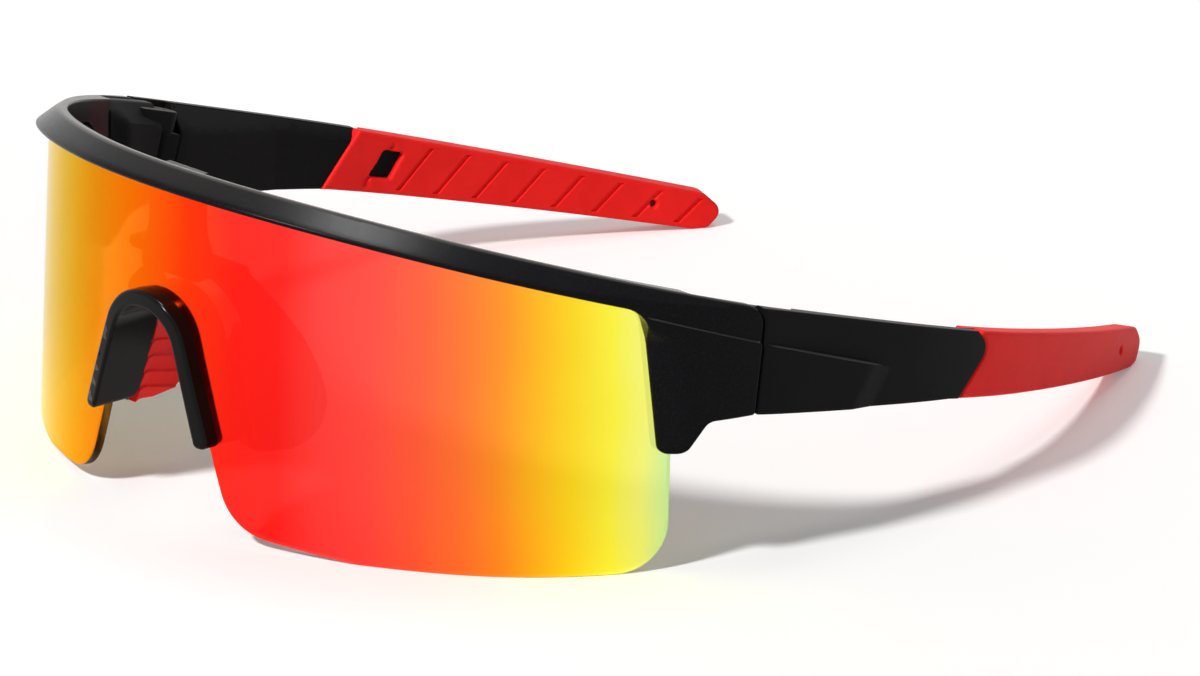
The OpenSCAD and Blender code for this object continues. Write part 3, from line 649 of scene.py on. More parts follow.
def satin_fleck():
    material, nodes, links, shader = new_material("satin_fleck_black")
    cells = add(nodes, "ShaderNodeTexVoronoi")
    put(cells, Scale=8200)
    links.new(object_coordinates(nodes), cells.inputs["Vector"])
    grey = add(nodes, "ShaderNodeSeparateColor")
    links.new(cells.outputs["Color"], grey.inputs["Color"])
    colour = ramp(nodes, links, grey.outputs["Red"], [
        (0.0, (0.002, 0.002, 0.0023)),
        (0.75, (0.0026, 0.0026, 0.0032)),
        (1.0, (0.007, 0.0075, 0.011))])
    # Upward faces get a painted sheen
    links.new(painted_top_sheen(nodes, links, colour), shader.inputs["Base Color"])
    roughen(nodes, links, shader, 900, 0.2, 0.27)
    bump(nodes, links, shader, grey.outputs["Green"], 0.000004)
    put(shader, Specular_IOR_Level=0.06, Sheen_Weight=0.01, Sheen_Roughness=0.35)
    return material


def soft_black():
    material, nodes, links, shader = new_material("soft_touch_black")
    colour = two_tone(nodes, links, 60, (0.0030, 0.0030, 0.0032), (0.0048, 0.0048, 0.0050))
    # Upward faces get a painted sheen
    links.new(painted_top_sheen(nodes, links, colour), shader.inputs["Base Color"])
    roughen(nodes, links, shader, 2500, 0.5, 0.62)
    bump(nodes, links, shader, noise(nodes, links, 5000), 0.000012)
    put(shader, Specular_IOR_Level=0.05, Sheen_Weight=0.05, Sheen_Roughness=0.35)
    return material


def gloss_black():
    material, nodes, links, shader = new_material("gloss_black")
    colour = two_tone(nodes, links, 90, (0.002, 0.002, 0.002), (0.004, 0.004, 0.004))
    links.new(colour, shader.inputs["Base Color"])
    roughen(nodes, links, shader, 300, 0.1, 0.16)
    bump(nodes, links, shader, noise(nodes, links, 420), 0.000004)
    put(shader, Specular_IOR_Level=0.09)
    return material


def red_rubber():
    material, nodes, links, shader = new_material("red_rubber")
    colour = two_tone(nodes, links, 140, (0.82, 0.012, 0.010), (0.90, 0.016, 0.013), 4)
    links.new(colour, shader.inputs["Base Color"])
    roughen(nodes, links, shader, 1800, 0.45, 0.6)
    bump(nodes, links, shader, noise(nodes, links, 6000), 0.000015)
    put(shader, Specular_IOR_Level=0.1)
    return material


def screw_steel():
    material, nodes, links, shader = new_material("brushed_steel")
    colour = two_tone(nodes, links, 700, (0.42, 0.42, 0.43), (0.55, 0.55, 0.56))
    links.new(colour, shader.inputs["Base Color"])
    roughen(nodes, links, shader, 4000, 0.25, 0.4)
    put(shader, Metallic=1)
    return material


# Hue of the mirror by heading in degrees: yellow at both ends, red left of the wearer's nose
MIRROR_STOPS = [
    (-62, (0.80, 0.72, 0.20)),
    (-46, (0.92, 0.66, 0.14)),
    (-32, (0.84, 0.48, 0.02)),
    (-20, (0.90, 0.31, 0.007)),
    (-8, (1.00, 0.19, 0.003)),
    (0, (1.00, 0.11, 0.003)),
    (7, (1.00, 0.040, 0.003)),
    (16, (1.00, 0.015, 0.009)),
    (24, (1.00, 0.015, 0.012)),
    (30, (1.00, 0.040, 0.035)),
    (38, (1.00, 0.060, 0.045)),
    (45, (1.00, 0.10, 0.035)),
    (51, (1.00, 0.17, 0.025)),
    (56, (1.00, 0.28, 0.015)),
    (61, (1.00, 0.48, 0.010)),
    (66, (1.00, 0.71, 0.012)),
    (71, (1.00, 0.93, 0.040)),
    (75, (0.95, 0.98, 0.18)),
    (78, (0.66, 0.94, 0.33)),
    (84, (0.45, 0.80, 0.38)),
]
# Middle of the front arc, which the headings are measured from
FRONT_CENTRE_Y = RADII[0] - MIDDLE_U


def mirror():
    material, nodes, links, shader = new_material("mirror_lens")
    parts = add(nodes, "ShaderNodeSeparateXYZ")
    links.new(object_coordinates(nodes), parts.inputs["Vector"])
    ahead = calculated(nodes, links, "SUBTRACT", FRONT_CENTRE_Y * MM, parts.outputs["Y"])
    heading = calculated(nodes, links, "ARCTAN2", parts.outputs["X"], ahead)
    waver = span(nodes, links, noise(nodes, links, 28), -0.05, 0.05)
    heading = calculated(nodes, links, "ADD", heading, waver)
    share = span(nodes, links, heading, 0.0, 1.0, -math.pi / 2, math.pi / 2)
    colour = ramp(nodes, links, share, [((turn + 90) / 180, c) for turn, c in MIRROR_STOPS])
    links.new(colour, shader.inputs["Base Color"])
    roughen(nodes, links, shader, 40, 0.08, 0.12)
    put(shader, Metallic=0.8, Specular_Tint=(1, 0.86, 0.4, 1), Transmission_Weight=1, IOR=1.1)
    return material


def smoke():
    material, nodes, links, shader = new_material("smoke_lens")
    colour = two_tone(nodes, links, 30, (0.40, 0.385, 0.38), (0.44, 0.42, 0.415))
    links.new(colour, shader.inputs["Base Color"])
    put(shader, Roughness=0.05, Transmission_Weight=1, IOR=1.1)
    return material


# Front moulding

JOIN_U = 32
BAR_HEIGHT = 3.8
# The bar's sloped face: its height, how far it leans in, and how it fades toward the lugs
FACE_HEIGHT, FACE_LEAN, RIDGE_BLEND = 3.2, 3.3, 0.16
FACE_FULL_TURN, FACE_END_TURN, FACE_LEAST = 50, 86, 0.15
BAR_BACK, LUG_BACK, LUG_BACK_U = -2.8, -0.2, 45
LUG_CREASE_U, LUG_CREASE_STEP = 38, 0.4
# Lug seen from the side: its lower edge, and the tab that hangs from it beside the lens
LUG_LOW_Z = top_z(SEAM_TOP_U) - 16
LUG_ELBOW_U, TAB_REAR_U, TAB_FRONT_U, LUG_NECK_U = (
    HINGE_U - 10.8, HINGE_U - 14.1, HINGE_U - 17.3, HINGE_U - 19.8)
TAB_Z = top_z(TAB_REAR_U) - 24
LUG_NECK_Z = top_z(LUG_NECK_U) - BAR_HEIGHT
TAB_ROUND = 1.9
# The lug thins toward its front edge, but not under the bar
FRONT_EDGE_SKIN, FRONT_EDGE_RISE = 0.45, 0.5
FREE_DROP, FREE_RANGE, FREE_SKIN = 8, 3.5, 3
# Block on the inner side of each lug, which carries the fork: its ends, and its offsets
ROOT_U, ROOT_CUT = 44.2, -2.35
ROOT_SHALLOW, ROOT_DEEP, ROOT_STEP_U, ROOT_STEP = -3.1, -4.5, 44.7, 3.3
# Inner faces slope in from the top edge, from these offsets on
ROOT_TOP, LINING_TOP, TOP_CHAMFER = -1.3, -0.7, 0.9
# Stem and yoke seen from the front, and how far behind the brow they begin and end
STEM_FOOT_X, STEM_TOP_X, STEM_FOOT_Z, STEM_FRONT, STEM_BACK = 5.7, 4.2, 36.95, -3.9, -8.2
YOKE_X, YOKE_LOW_Z, YOKE_TOP_Z, YOKE_FRONT, YOKE_BACK = 11.6, 37.8, 39.8, -6.6, -9.8


def face_share(turn):
    return clamp((FACE_END_TURN - turn) / (FACE_END_TURN - FACE_FULL_TURN), FACE_LEAST)


def bar_side_view(length, drop):
    """Depth and height of a point of the bar or lug, seen from the side."""
    u = depth_of(length)
    return from_wall(u, wall_top(u) - drop)


def behind_front_edge(u, z):
    """How far behind the lug's front edge a point of the side view is."""
    share = (z - TAB_Z) / (LUG_NECK_Z - TAB_Z)
    return u - (TAB_FRONT_U + (LUG_NECK_U - TAB_FRONT_U) * share)


def bar_outer(length, drop):
    length = abs(length)
    share = face_share(math.degrees(turn_of(length)))
    gap = FACE_LEAN * (share - drop / FACE_HEIGHT)
    offset = FRAME_SKIN - (gap + math.hypot(gap, RIDGE_BLEND)) / 2
    u, z = bar_side_view(length, drop)
    if u > LUG_CREASE_U:
        below = step(crease_z(u) - z, CREASE_WIDTH)
        offset += LUG_CREASE_STEP * min(1, u - LUG_CREASE_U) * below
        rise = FRONT_EDGE_RISE * max(0, behind_front_edge(u, z))
        freed = FREE_SKIN * clamp((FREE_DROP - drop) / FREE_RANGE)
        offset = min(offset, FRONT_EDGE_SKIN + rise + freed)
    return offset


def bar_inner(length, drop):
    u = bar_side_view(abs(length), drop)[0]
    return BAR_BACK if u < LUG_BACK_U else LUG_BACK


def root_inner(length, drop):
    u = bar_side_view(abs(length), drop)[0]
    deeper = clamp((u - ROOT_STEP_U) / ROOT_STEP)
    return max(
        ROOT_SHALLOW + (ROOT_DEEP - ROOT_SHALLOW) * deeper, ROOT_TOP - TOP_CHAMFER * drop)


def bar_lines():
    """Lines along the ridge of the sloped face and along the crease of each lug."""
    lines = []
    reach = length_at(math.radians(74))
    for shift in (-0.22, 0, 0.22):
        lines.append([
            Vector((s, FACE_HEIGHT * face_share(math.degrees(turn_of(abs(s)))) + shift))
            for s in np.linspace(-reach, reach, 180)])
    crease = [Vector(bar_spot(u, crease_z(u))) for u in np.linspace(39.4, 55.6, 24)]
    for line in twin_lines(crease, CREASE_WIDTH):
        lines += [line, mirrored_line(line)]
    return lines


def add_bar(form):
    lug = rounded([
        (JOIN_U, top_z(JOIN_U), 0),
        (SEAM_TOP_U, top_z(SEAM_TOP_U), SEAM_ROUND),
        (SEAM_LOW_U, LUG_LOW_Z, 0.5),
        (LUG_ELBOW_U, LUG_LOW_Z, TAB_ROUND),
        (TAB_REAR_U, TAB_Z, TAB_ROUND),
        (TAB_FRONT_U, TAB_Z, 1.52),
        (LUG_NECK_U, LUG_NECK_Z, 4),
        (JOIN_U, top_z(JOIN_U) - BAR_HEIGHT, 0)])
    lug = spots(dense(lug, 0.8, closed=False), bar_spot)
    join, low = lug[0].x, lug[-1].y
    count = math.ceil(join)
    top = [Vector((join * k / count, 0)) for k in range(count)]
    bottom = [Vector((join * k / count, low)) for k in range(count - 1, -1, -1)]
    outline = mirrored_loop(top + lug + bottom)
    plate(
        form, outline, bar_place, bar_outer, bar_inner, radii=(0.35, 0.25), cell=1.1,
        lines=(bar_lines(), ()))


def add_fork_roots(form):
    top_u = hinge_cut(top_z(58.4), ROOT_CUT) - 0.1
    root = spots(dense(rounded([
        (ROOT_U, top_z(ROOT_U) - 0.3, 0),
        (top_u, top_z(top_u) - 0.3, 0.4),
        (hinge_cut(LUG_LOW_Z, ROOT_CUT), LUG_LOW_Z + 0.1, 0.4),
        (LUG_ELBOW_U, LUG_LOW_Z + 0.1, TAB_ROUND),
        (TAB_REAR_U, TAB_Z + 0.1, 0.5)]), 0.8), bar_spot)
    for outline in (root, mirrored_line(root)):
        plate(
            form, outline, bar_place, flat(OVERLAP), root_inner, radii=(0.05, 0.35), cell=1.1,
            slots=(1, 1))


def add_forks(form):
    outline = knuckle(1, FORK_REACH)
    for side in (1, -1):
        for low, high in FORK_LEVELS:
            plate(
                form, outline,
                lambda x, y, h: hinge_place(x, y, h) * Vector((side, 1, 1)),
                flat(high), flat(low), radii=(0.25, 0.25), cell=1, slots=(1, 1))


def add_stem(form):
    """Stem behind the lens, with the yoke and the two arms that it carries."""
    top = top_z(0) - 2.4
    rise = top - STEM_FOOT_Z
    foot_top, flare = STEM_FOOT_Z + rise * 0.17, rise * 0.28
    stem = rounded(both_sides([
        (STEM_FOOT_X, STEM_FOOT_Z, 0), (STEM_FOOT_X, foot_top, flare / 2),
        (STEM_TOP_X, foot_top + flare, flare / 2), (STEM_TOP_X, top, 0)]))
    plate(
        form, dense(stem, 0.8), face_place, flat(STEM_FRONT), flat(STEM_BACK),
        radii=(0.5, 0.6), cell=1)
    yoke = rounded(both_sides([(YOKE_X, YOKE_LOW_Z, 0.7), (YOKE_X, YOKE_TOP_Z, 0.8)]))
    plate(
        form, dense(yoke, 0.8), face_place, flat(YOKE_FRONT), flat(YOKE_BACK),
        radii=(0.4, 0.4), cell=0.7)
    for side in (1, -1):
        loft(form, [
            arm_ring(z, arm_room(z), arm_room(z) + ARM_WALL, side)
            for z in np.linspace(ARM_LOW_Z, ARM_TOP_Z, 40)])


def front_moulding(material, inner_material):
    form = bmesh.new()
    add_bar(form)
    add_fork_roots(form)
    add_forks(form)
    add_stem(form)
    finish_piece(
        form, "front_moulding", "frame_front", "front", [material, inner_material])


# Arms and pads beside the nose

ARM_TOP_Z, BELLY_Z, ARM_LOW_Z, PAD_TOP_Z = 39.4, 21.5, 12.8, 31
ARM_WALL, ARM_ROOM, PAD_OUTER = 1.5, 2.1, 2.05
ARM_FRONT_U, ARM_REAR_U, ARM_REACH = 8.05, 9.4, 11.5
ARM_REAR_X, ARM_NARROWING, ARM_DROOP = 13.5, 3.8, 0.3
ARM_TAPER, ARM_TAPER_START = 0.45, 0.4
# The clip's legs, which the arms follow: half width and height at foot and top
LEG_FOOT_X, LEG_FOOT_Z = 11.15, 14
LEG_TOP_X, LEG_TOP_Z = 4.5, 34
SHOULDER_Z, SHOULDER_HEIGHT, SHOULDER_OUT = 27.4, 9, 4.4
# Stepped ridges of the pad
RIDGE_TOP_Z, RIDGE_PITCH, RIDGE_DEPTH = 23.5, 2.65, 0.35


def arm_rear(z):
    rise = (z - BELLY_Z) / (ARM_TOP_Z - BELLY_Z if z > BELLY_Z else BELLY_Z - ARM_LOW_Z)
    fade = 1 - max(0, rise) ** 1.6 if z > BELLY_Z else math.sqrt(max(0, 1 - rise * rise))
    return ARM_REAR_U + ARM_REACH * fade


def arm_front_x(z):
    x = LEG_FOOT_X + (LEG_TOP_X - LEG_FOOT_X) * (z - LEG_FOOT_Z) / (LEG_TOP_Z - LEG_FOOT_Z)
    if SHOULDER_Z < z < SHOULDER_Z + SHOULDER_HEIGHT:
        x += SHOULDER_OUT * math.sqrt(math.sin(math.pi * (z - SHOULDER_Z) / SHOULDER_HEIGHT))
    return x


def nose_point(z, share):
    """Half width and depth of the pad's mating face, from its front edge to its rear edge."""
    front = Vector((arm_front_x(z), ARM_FRONT_U))
    rise = (z - ARM_LOW_Z) / (ARM_TOP_Z - ARM_LOW_Z)
    rear = Vector((ARM_REAR_X - ARM_NARROWING * rise ** 3, arm_rear(z)))
    return front + (rear - front) * share


def arm_room(z):
    return ARM_ROOM * min(1, (ARM_TOP_Z - z) / (ARM_TOP_Z - PAD_TOP_Z))


def arm_ring(z, inner, outer, side):
    """Ring of an arm or pad at a height, between two distances outward from the nose."""
    shares = [k / 10 for k in range(11)]
    ring = []
    for share in shares:
        p = nose_point(z, share)
        ring.append((p.x + inner, p.y))
    for share in reversed(shares):
        p = nose_point(z, share)
        thinned = max(0, (share - ARM_TAPER_START) / (1 - ARM_TAPER_START))
        ring.append((p.x + inner + (outer - inner) * (1 - ARM_TAPER * thinned ** 2), p.y))
    return [
        Vector((side * x, u - MIDDLE_U, z - ARM_DROOP * max(0, u - ARM_REAR_U))) * MM
        for x, u in ring]


def nose_pad(side, material):
    form = bmesh.new()
    ledge = RIDGE_PITCH / 8
    smooth_z = RIDGE_TOP_Z + ledge
    end_z = smooth_z - 4 * RIDGE_PITCH
    rows = [(ARM_LOW_Z + (end_z - ARM_LOW_Z) * share, RIDGE_DEPTH) for share in (0.25, 1)]
    for k in (3, 2, 1, 0):
        ridge_z = RIDGE_TOP_Z - k * RIDGE_PITCH
        rows += [(ridge_z - ledge, 0), (ridge_z, RIDGE_DEPTH)]
    rows += [(smooth_z + (PAD_TOP_Z - smooth_z) * k / 8, 0) for k in range(9)]
    loft(form, [arm_ring(z, depth, PAD_OUTER, 1) for z, depth in rows])
    finish_piece(
        form, "nose_cushion_" + side, "nose_pad_" + side, "front", [material],
        side == "right", 26)


# Clip over the notch

CLIP_RADIUS = RADII[0] + 2.4
CLIP_BACK, CLIP_FOOT_ROUND = -8, 2


def clip_front(x, z):
    turn = math.asin(clamp(x / CLIP_RADIUS, -1))
    u = RADII[0] - CLIP_RADIUS * math.cos(turn)
    return -from_wall(u, wall_height(u, z))[0]


def clip_back(x, z):
    low = max(0, CLIP_FOOT_ROUND - (z - LEG_FOOT_Z))
    return CLIP_BACK + CLIP_FOOT_ROUND - math.sqrt(max(0, CLIP_FOOT_ROUND ** 2 - low * low))


def nose_clip(material):
    form = bmesh.new()
    outline = both_sides([
        (LEG_FOOT_X, LEG_FOOT_Z, 1.05), (13.76, LEG_FOOT_Z, 1.05), (6.4, 35.2, 8.7)])
    outline += [(-4.95, 32.65, 6.6), (4.95, 32.65, 6.6)]
    plate(
        form, dense(rounded(outline, 14), 0.6), face_place, clip_front, clip_back,
        radii=(0.55, 0.4), cell=0.8)
    finish_piece(form, "nose_clip", "nose_bridge", "front", [material])


# Lens

LENS_THICKNESS = 1.7
LENS_EDGE_U = HINGE_U - 15.3
# Where the outline passes from the front view to the side view
LENS_JOIN_X, LENS_JOIN_U = 34, 10.6


def shield(mirror_material, smoke_material):
    form = bmesh.new()
    notch = rounded([
        (0, 33.9, 0), (5.5, 33.9, 7.2), (12.65, 11.5, 8), (16, 2.1, 9),
        (LENS_JOIN_X, 0, 0), (LENS_JOIN_X, 60, 0), (0, 60, 0)], 14)[:-2]
    chain = []
    for p in dense(notch, 0.8, closed=False):
        turn = turn_at_x(p.x)
        chain.append(Vector((length_at(turn), wall_height(curve_point(turn, 0)[1], p.y))))
    side = rounded([
        (LENS_JOIN_U, 0, 0), (LENS_EDGE_U, 0, 7.3), (LENS_EDGE_U, top_z(LENS_EDGE_U) - 2.4, 0),
        (LENS_JOIN_U, top_z(LENS_JOIN_U) - 2.4, 0)], 14)
    side = spots(dense(side, 1, closed=False), lens_spot)
    chain += side
    count = math.ceil(side[-1].x)
    for k in range(count - 1, -1, -1):
        length = side[-1].x * k / count
        chain.append(Vector((length, wall_top(depth_of(length)) - 2.38)))
    plate(
        form, mirrored_loop(chain), lens_place, flat(0), flat(-LENS_THICKNESS),
        radii=(0.22, 0.22), cell=1.8, slots=(0, 1))
    finish_piece(
        form, "curved_shield", "shield_lens", "front", [mirror_material, smoke_material])


# Temples

TEMPLE_SKIN, PANEL_SKIN = 1.3, 2.25
FACET_END = HINGE_U + 21.2
RAMP_U = HINGE_U + 17.8
RAMP_Z = top_z(RAMP_U) - 9.9
RAMP_LEAN, RAMP_DIP = math.radians(38), math.radians(10.5)
# Inner side: deep at the hinge, then thinner in a straight line
TONGUE_END = 2.7
LINING_START, LINING_END = (HINGE_U + 5.2, -4.5), (HINGE_U + 27.2, -2.4)
# Front edge of the sleeve, on the outer and on the inner face
CUFF_TOP_U, CUFF_NOSE_U, CUFF_LOW_U = HINGE_U + 45.6, HINGE_U + 48.8, HINGE_U + 41
CUFF_IN_TOP_U, CUFF_IN_LOW_U = HINGE_U + 45.1, HINGE_U + 37.3
CUFF_NOSE_Z, CUFF_NOSE_ROUND = top_z(CUFF_NOSE_U) - 2.4, 2.2
SLEEVE_GAP = 0.05
# How far the lining stays inside the temple's edges, and the core inside the sleeve's
LINING_INSET, CORE_INSET, CORE_END_U = 0.02, 1.6, 165
HOLE_U, HOLE_RADIUS = TIP_U - 12.2, 0.6


def plan_line(u, first, last):
    """Offset of a straight line in plan between two points given by depth and offset."""
    a, b = half_x(*first), half_x(*last)
    x = a + (b - a) * (u - first[0]) / (last[0] - first[0])
    return (x - half_x(u, 0)) * math.sin(turn_at(u))


def along_ramp(u, z):
    return (u - RAMP_U) * math.cos(RAMP_LEAN) - (z - RAMP_Z) * math.sin(RAMP_LEAN)


def ramp_offset(u, z):
    x = half_x(RAMP_U, PANEL_SKIN) - math.tan(RAMP_DIP) * along_ramp(u, z)
    return (x - half_x(u, 0)) * math.sin(turn_at(u))


def facet_offset(u):
    if u > FACET_END:
        return TEMPLE_SKIN
    return min(FRAME_SKIN, plan_line(u, (SEAM_TOP_U, FRAME_SKIN), (FACET_END, TEMPLE_SKIN)))


def temple_outer(length, z):
    u = depth_of(length)
    base = facet_offset(u)
    panel = PANEL_SKIN if along_ramp(u, z) < 0 else min(PANEL_SKIN, ramp_offset(u, z))
    return base + max(0, panel - base) * step(crease_z(u) - z, CREASE_WIDTH)


def temple_back(length, z):
    return -0.9 if hinge_back(depth_of(length), z) > TONGUE_END else 0.1


def temple_inner(length, z):
    u = depth_of(length)
    sloped = LINING_TOP - TOP_CHAMFER * (top_z(u) - z)
    if u > LINING_END[0]:
        return max(LINING_END[1], sloped)
    return max(LINING_START[1], sloped, plan_line(u, LINING_START, LINING_END))


def temple_outline(corners, spacing=0.8):
    return spots(dense(rounded(corners), spacing), temple_spot)


def cord_hole():
    middle = Vector(temple_spot(HOLE_U, middle_z(HOLE_U)))
    return [
        middle + Vector((math.cos(a), math.sin(a))) * HOLE_RADIUS
        for a in np.linspace(0, 2 * math.pi, 25)[:-1]]


def ramp_line(heights, reached):
    """Line through the first depth at each height where the ramp has reached a state."""
    line = []
    for z in heights:
        u = next((u for u in np.linspace(62, 95, 800) if reached(u, z)), None)
        if u is not None:
            line.append(Vector(temple_spot(u, z)))
    return line


def blade_lines():
    """Lines along the crease and along the upper and lower end of the ramp."""
    crease_end = next(
        u for u in np.linspace(70, 95, 400) if ramp_offset(u, crease_z(u)) < facet_offset(u))
    crease = [Vector(temple_spot(u, crease_z(u))) for u in np.linspace(57.2, crease_end, 40)]
    heights = np.linspace(crease_z(RAMP_U - 1) - 0.4, low_z(70) + 0.8, 16)
    start = ramp_line(
        [z for z in heights if z > low_z(RAMP_U - 6) + 0.7],
        lambda u, z: along_ramp(u, z) > 0)
    end = ramp_line(
        np.linspace(crease_z(crease_end) - 0.3, low_z(78) + 0.9, 14),
        lambda u, z: along_ramp(u, z) > 0 and ramp_offset(u, z) < facet_offset(u))
    return [*twin_lines(crease, CREASE_WIDTH), start, end]


def blade_outline():
    seam = rounded([
        (48, top_z(48), 0), (SEAM_TOP_U, top_z(SEAM_TOP_U), SEAM_ROUND),
        (SEAM_LOW_U, 20, 0), (48, 20, 0)])[1:-2]
    gap = Vector((0.15, 0))
    seam = [p + gap for p in seam if top_z(p.x + gap.x) - p.y > 0.7]
    blunt_u = seam[0].x + 0.1
    low_u = SEAM_LOW_U + gap.x
    rest = rounded([
        (low_u + 1, low_z(low_u) + 8, 0), (low_u, low_z(low_u), 0.5), (ELBOW_U, ELBOW_Z, 4),
        (CUFF_LOW_U - SLEEVE_GAP, low_z(CUFF_LOW_U), 0),
        (CUFF_NOSE_U - SLEEVE_GAP, CUFF_NOSE_Z, CUFF_NOSE_ROUND),
        (CUFF_TOP_U - SLEEVE_GAP, top_z(CUFF_TOP_U), 0.9)])[1:]
    outline = [Vector((blunt_u, top_z(blunt_u))), *seam, *rest]
    return spots(dense(without_twins(outline), 0.8), temple_spot)


def add_blade(form):
    cut = [
        Vector(temple_spot(hinge_cut(z, TONGUE_END), z))
        for z in np.linspace(top_z(62) - 0.6, low_z(58) + 0.8, 10)]
    plate(
        form, blade_outline(), temple_place, temple_outer, temple_back, radii=(0.35, 0.15),
        cell=1.2, lines=(blade_lines(), twin_lines(cut, 0.1)))


def add_lining(form):
    top_u = hinge_cut(top_z(61.5), TONGUE_END)
    low_u = hinge_cut(low_z(57), TONGUE_END)
    outline = temple_outline([
        (top_u, top_z(top_u) - LINING_INSET, 0.4),
        (low_u, low_z(low_u) + LINING_INSET, 0.4),
        (CUFF_IN_LOW_U - SLEEVE_GAP, low_z(CUFF_IN_LOW_U) + LINING_INSET, 0),
        (CUFF_IN_TOP_U - SLEEVE_GAP, top_z(CUFF_IN_TOP_U) - LINING_INSET, 0)])
    plate(
        form, outline, temple_place, flat(0), temple_inner, radii=(0.05, 0.35), cell=1.2)


def add_core(form):
    """Flat core inside the sleeve, with the cord hole."""
    start = CUFF_IN_LOW_U - 4
    outline = temple_outline([
        (start, top_z(start) - CORE_INSET, 0),
        (start, low_z(start) + CORE_INSET, 0),
        (ELBOW_U, ELBOW_Z + CORE_INSET, 3),
        (CORE_END_U, low_z(CORE_END_U) + CORE_INSET, 0.9),
        (CORE_END_U, top_z(CORE_END_U) - CORE_INSET, 0.9)], 1)
    plate(
        form, outline, temple_place, flat(0.2), flat(-1.8), radii=(0.2, 0.2), cell=2,
        holes=[cord_hole()])


def temple(side, material):
    form = bmesh.new()
    add_blade(form)
    add_lining(form)
    add_core(form)
    plate(
        form, knuckle(-1, TONGUE_REACH), hinge_place, flat(TONGUE_LEVEL), flat(-TONGUE_LEVEL),
        radii=(0.25, 0.25), cell=1)
    finish_piece(
        form, "temple_shell_" + side, "temple_" + side, "temple_" + side, [material],
        side == "right")


# Rubber sleeves

GROOVES = [HINGE_U + 49.2 + k * 7.2 for k in range(9)]
GROOVE_HALF_WIDTH, GROOVE_DEPTH, GROOVE_WALL, GROOVE_MARGIN = 0.45, 0.45, 0.16, 1
SLEEVE_INNER_SKIN, SLEEVE_SPLIT = -2.9, -0.8
WINDOW_U = HINGE_U + 50.8


def groove_room(u, z, groove_u):
    """How far inside a groove a point is."""
    across = abs((u - groove_u) - (z - middle_z(groove_u))) / math.sqrt(2)
    return min(
        GROOVE_HALF_WIDTH - across, top_z(u) - GROOVE_MARGIN - z, z - low_z(u) - GROOVE_MARGIN)


def sleeve_inner(length, z):
    u = depth_of(length)
    near = min(GROOVES, key=lambda g: abs((u - g) - (z - middle_z(g))))
    return SLEEVE_INNER_SKIN + GROOVE_DEPTH * step(groove_room(u, z, near), GROOVE_WALL)


def groove_loop(groove_u, grow):
    """Outline of a groove, grown a little, whose ends follow the sleeve's edges."""
    level = middle_z(groove_u)
    ends = []
    for sign in (1, -1):
        for across in (sign, -sign):
            shift = across * (GROOVE_HALF_WIDTH + grow) * math.sqrt(2)
            u = groove_u
            for _ in range(5):
                edge = top_z(u) if sign > 0 else low_z(u)
                along = edge - sign * (GROOVE_MARGIN - grow) - level
                u = groove_u + shift + along
            ends.append(Vector((u, level + along)))
    ends.append(ends[0])
    return spots(dense(ends, 0.7, closed=False), temple_spot)


def sleeve(side, material):
    form = bmesh.new()
    rear = [
        (HEEL_U, 0, 3), (TOE_U, 0, 1.2), (TIP_U, 2.9, 2.1), (TIP_TOP_U, TIP_TOP_Z, 3)]
    outer = temple_outline([
        (CUFF_TOP_U, top_z(CUFF_TOP_U), 0.5),
        (CUFF_NOSE_U, CUFF_NOSE_Z, CUFF_NOSE_ROUND),
        (CUFF_LOW_U, low_z(CUFF_LOW_U), 0), *rear])
    plate(
        form, outer, temple_place, flat(TEMPLE_SKIN), flat(SLEEVE_SPLIT - OVERLAP),
        radii=(0.6, 0.05), cell=1.3, holes=[cord_hole()])
    inner = temple_outline([
        (CUFF_IN_TOP_U, top_z(CUFF_IN_TOP_U), 0),
        (CUFF_IN_LOW_U, low_z(CUFF_IN_LOW_U), 0),
        (ELBOW_U, ELBOW_Z, 0), *rear])
    window = temple_outline([
        (WINDOW_U + a * 2.05 + b * 1.4, middle_z(WINDOW_U) + b * 2.1 - a * 0.51, 0.5)
        for a, b in ((-1, -1), (1, -1), (1, 1), (-1, 1))], 0.6)
    walls = [
        groove_loop(u, grow) for u in GROOVES[1:] for grow in (GROOVE_WALL / 2, -GROOVE_WALL / 2)]
    plate(
        form, inner, temple_place, flat(SLEEVE_SPLIT), sleeve_inner,
        radii=(0.05, 0.6), cell=1.3, holes=[cord_hole(), window], lines=((), walls))
    finish_piece(
        form, "sleeve_skin_" + side, "temple_sleeve_" + side, "temple_" + side,
        [material], side == "right")


# Hinge screws

SCREW_BEVEL = 0.1
SCREW_SOFTEN = math.radians(32)
MERGE_METRES = 0.000002


def hinge_screw(side, material):
    """Copy of the CAD screw with rounded edges."""
    node = "hinge_screw_" + side
    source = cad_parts[node]
    mesh = source.data.copy()
    mesh.materials.clear()
    mesh.materials.append(material)
    for polygon in mesh.polygons:
        polygon.material_index = 0
    form = bmesh.new()
    form.from_mesh(mesh)
    bmesh.ops.remove_doubles(form, verts=form.verts, dist=MERGE_METRES)
    bmesh.ops.dissolve_limit(
        form, angle_limit=math.radians(0.4), verts=form.verts, edges=form.edges)
    bmesh.ops.connect_verts_concave(form, faces=form.faces)
    form.to_mesh(mesh)
    form.free()
    piece = new_object("look_" + node, mesh)
    piece.matrix_world = source.matrix_world.copy()
    mesh.shade_smooth()
    mesh.set_sharp_from_angle(angle=SCREW_SOFTEN)
    edge = piece.modifiers.new("edge", "BEVEL")
    edge.width = SCREW_BEVEL * MM
    edge.segments = 3
    edge.limit_method = "ANGLE"
    edge.angle_limit = SCREW_SOFTEN
    edge.harden_normals = True
    edge.use_clamp_overlap = True
    edge.miter_outer = "MITER_ARC"
    register(piece, node, "front")


# Floor, background and lamps

# Light of the white room as it falls on the object and as it is seen
WORLD_LIGHT, WORLD_SEEN = 0.25, 1.0
FLOOR_COLOUR = (0.9, 0.89, 0.88, 1)
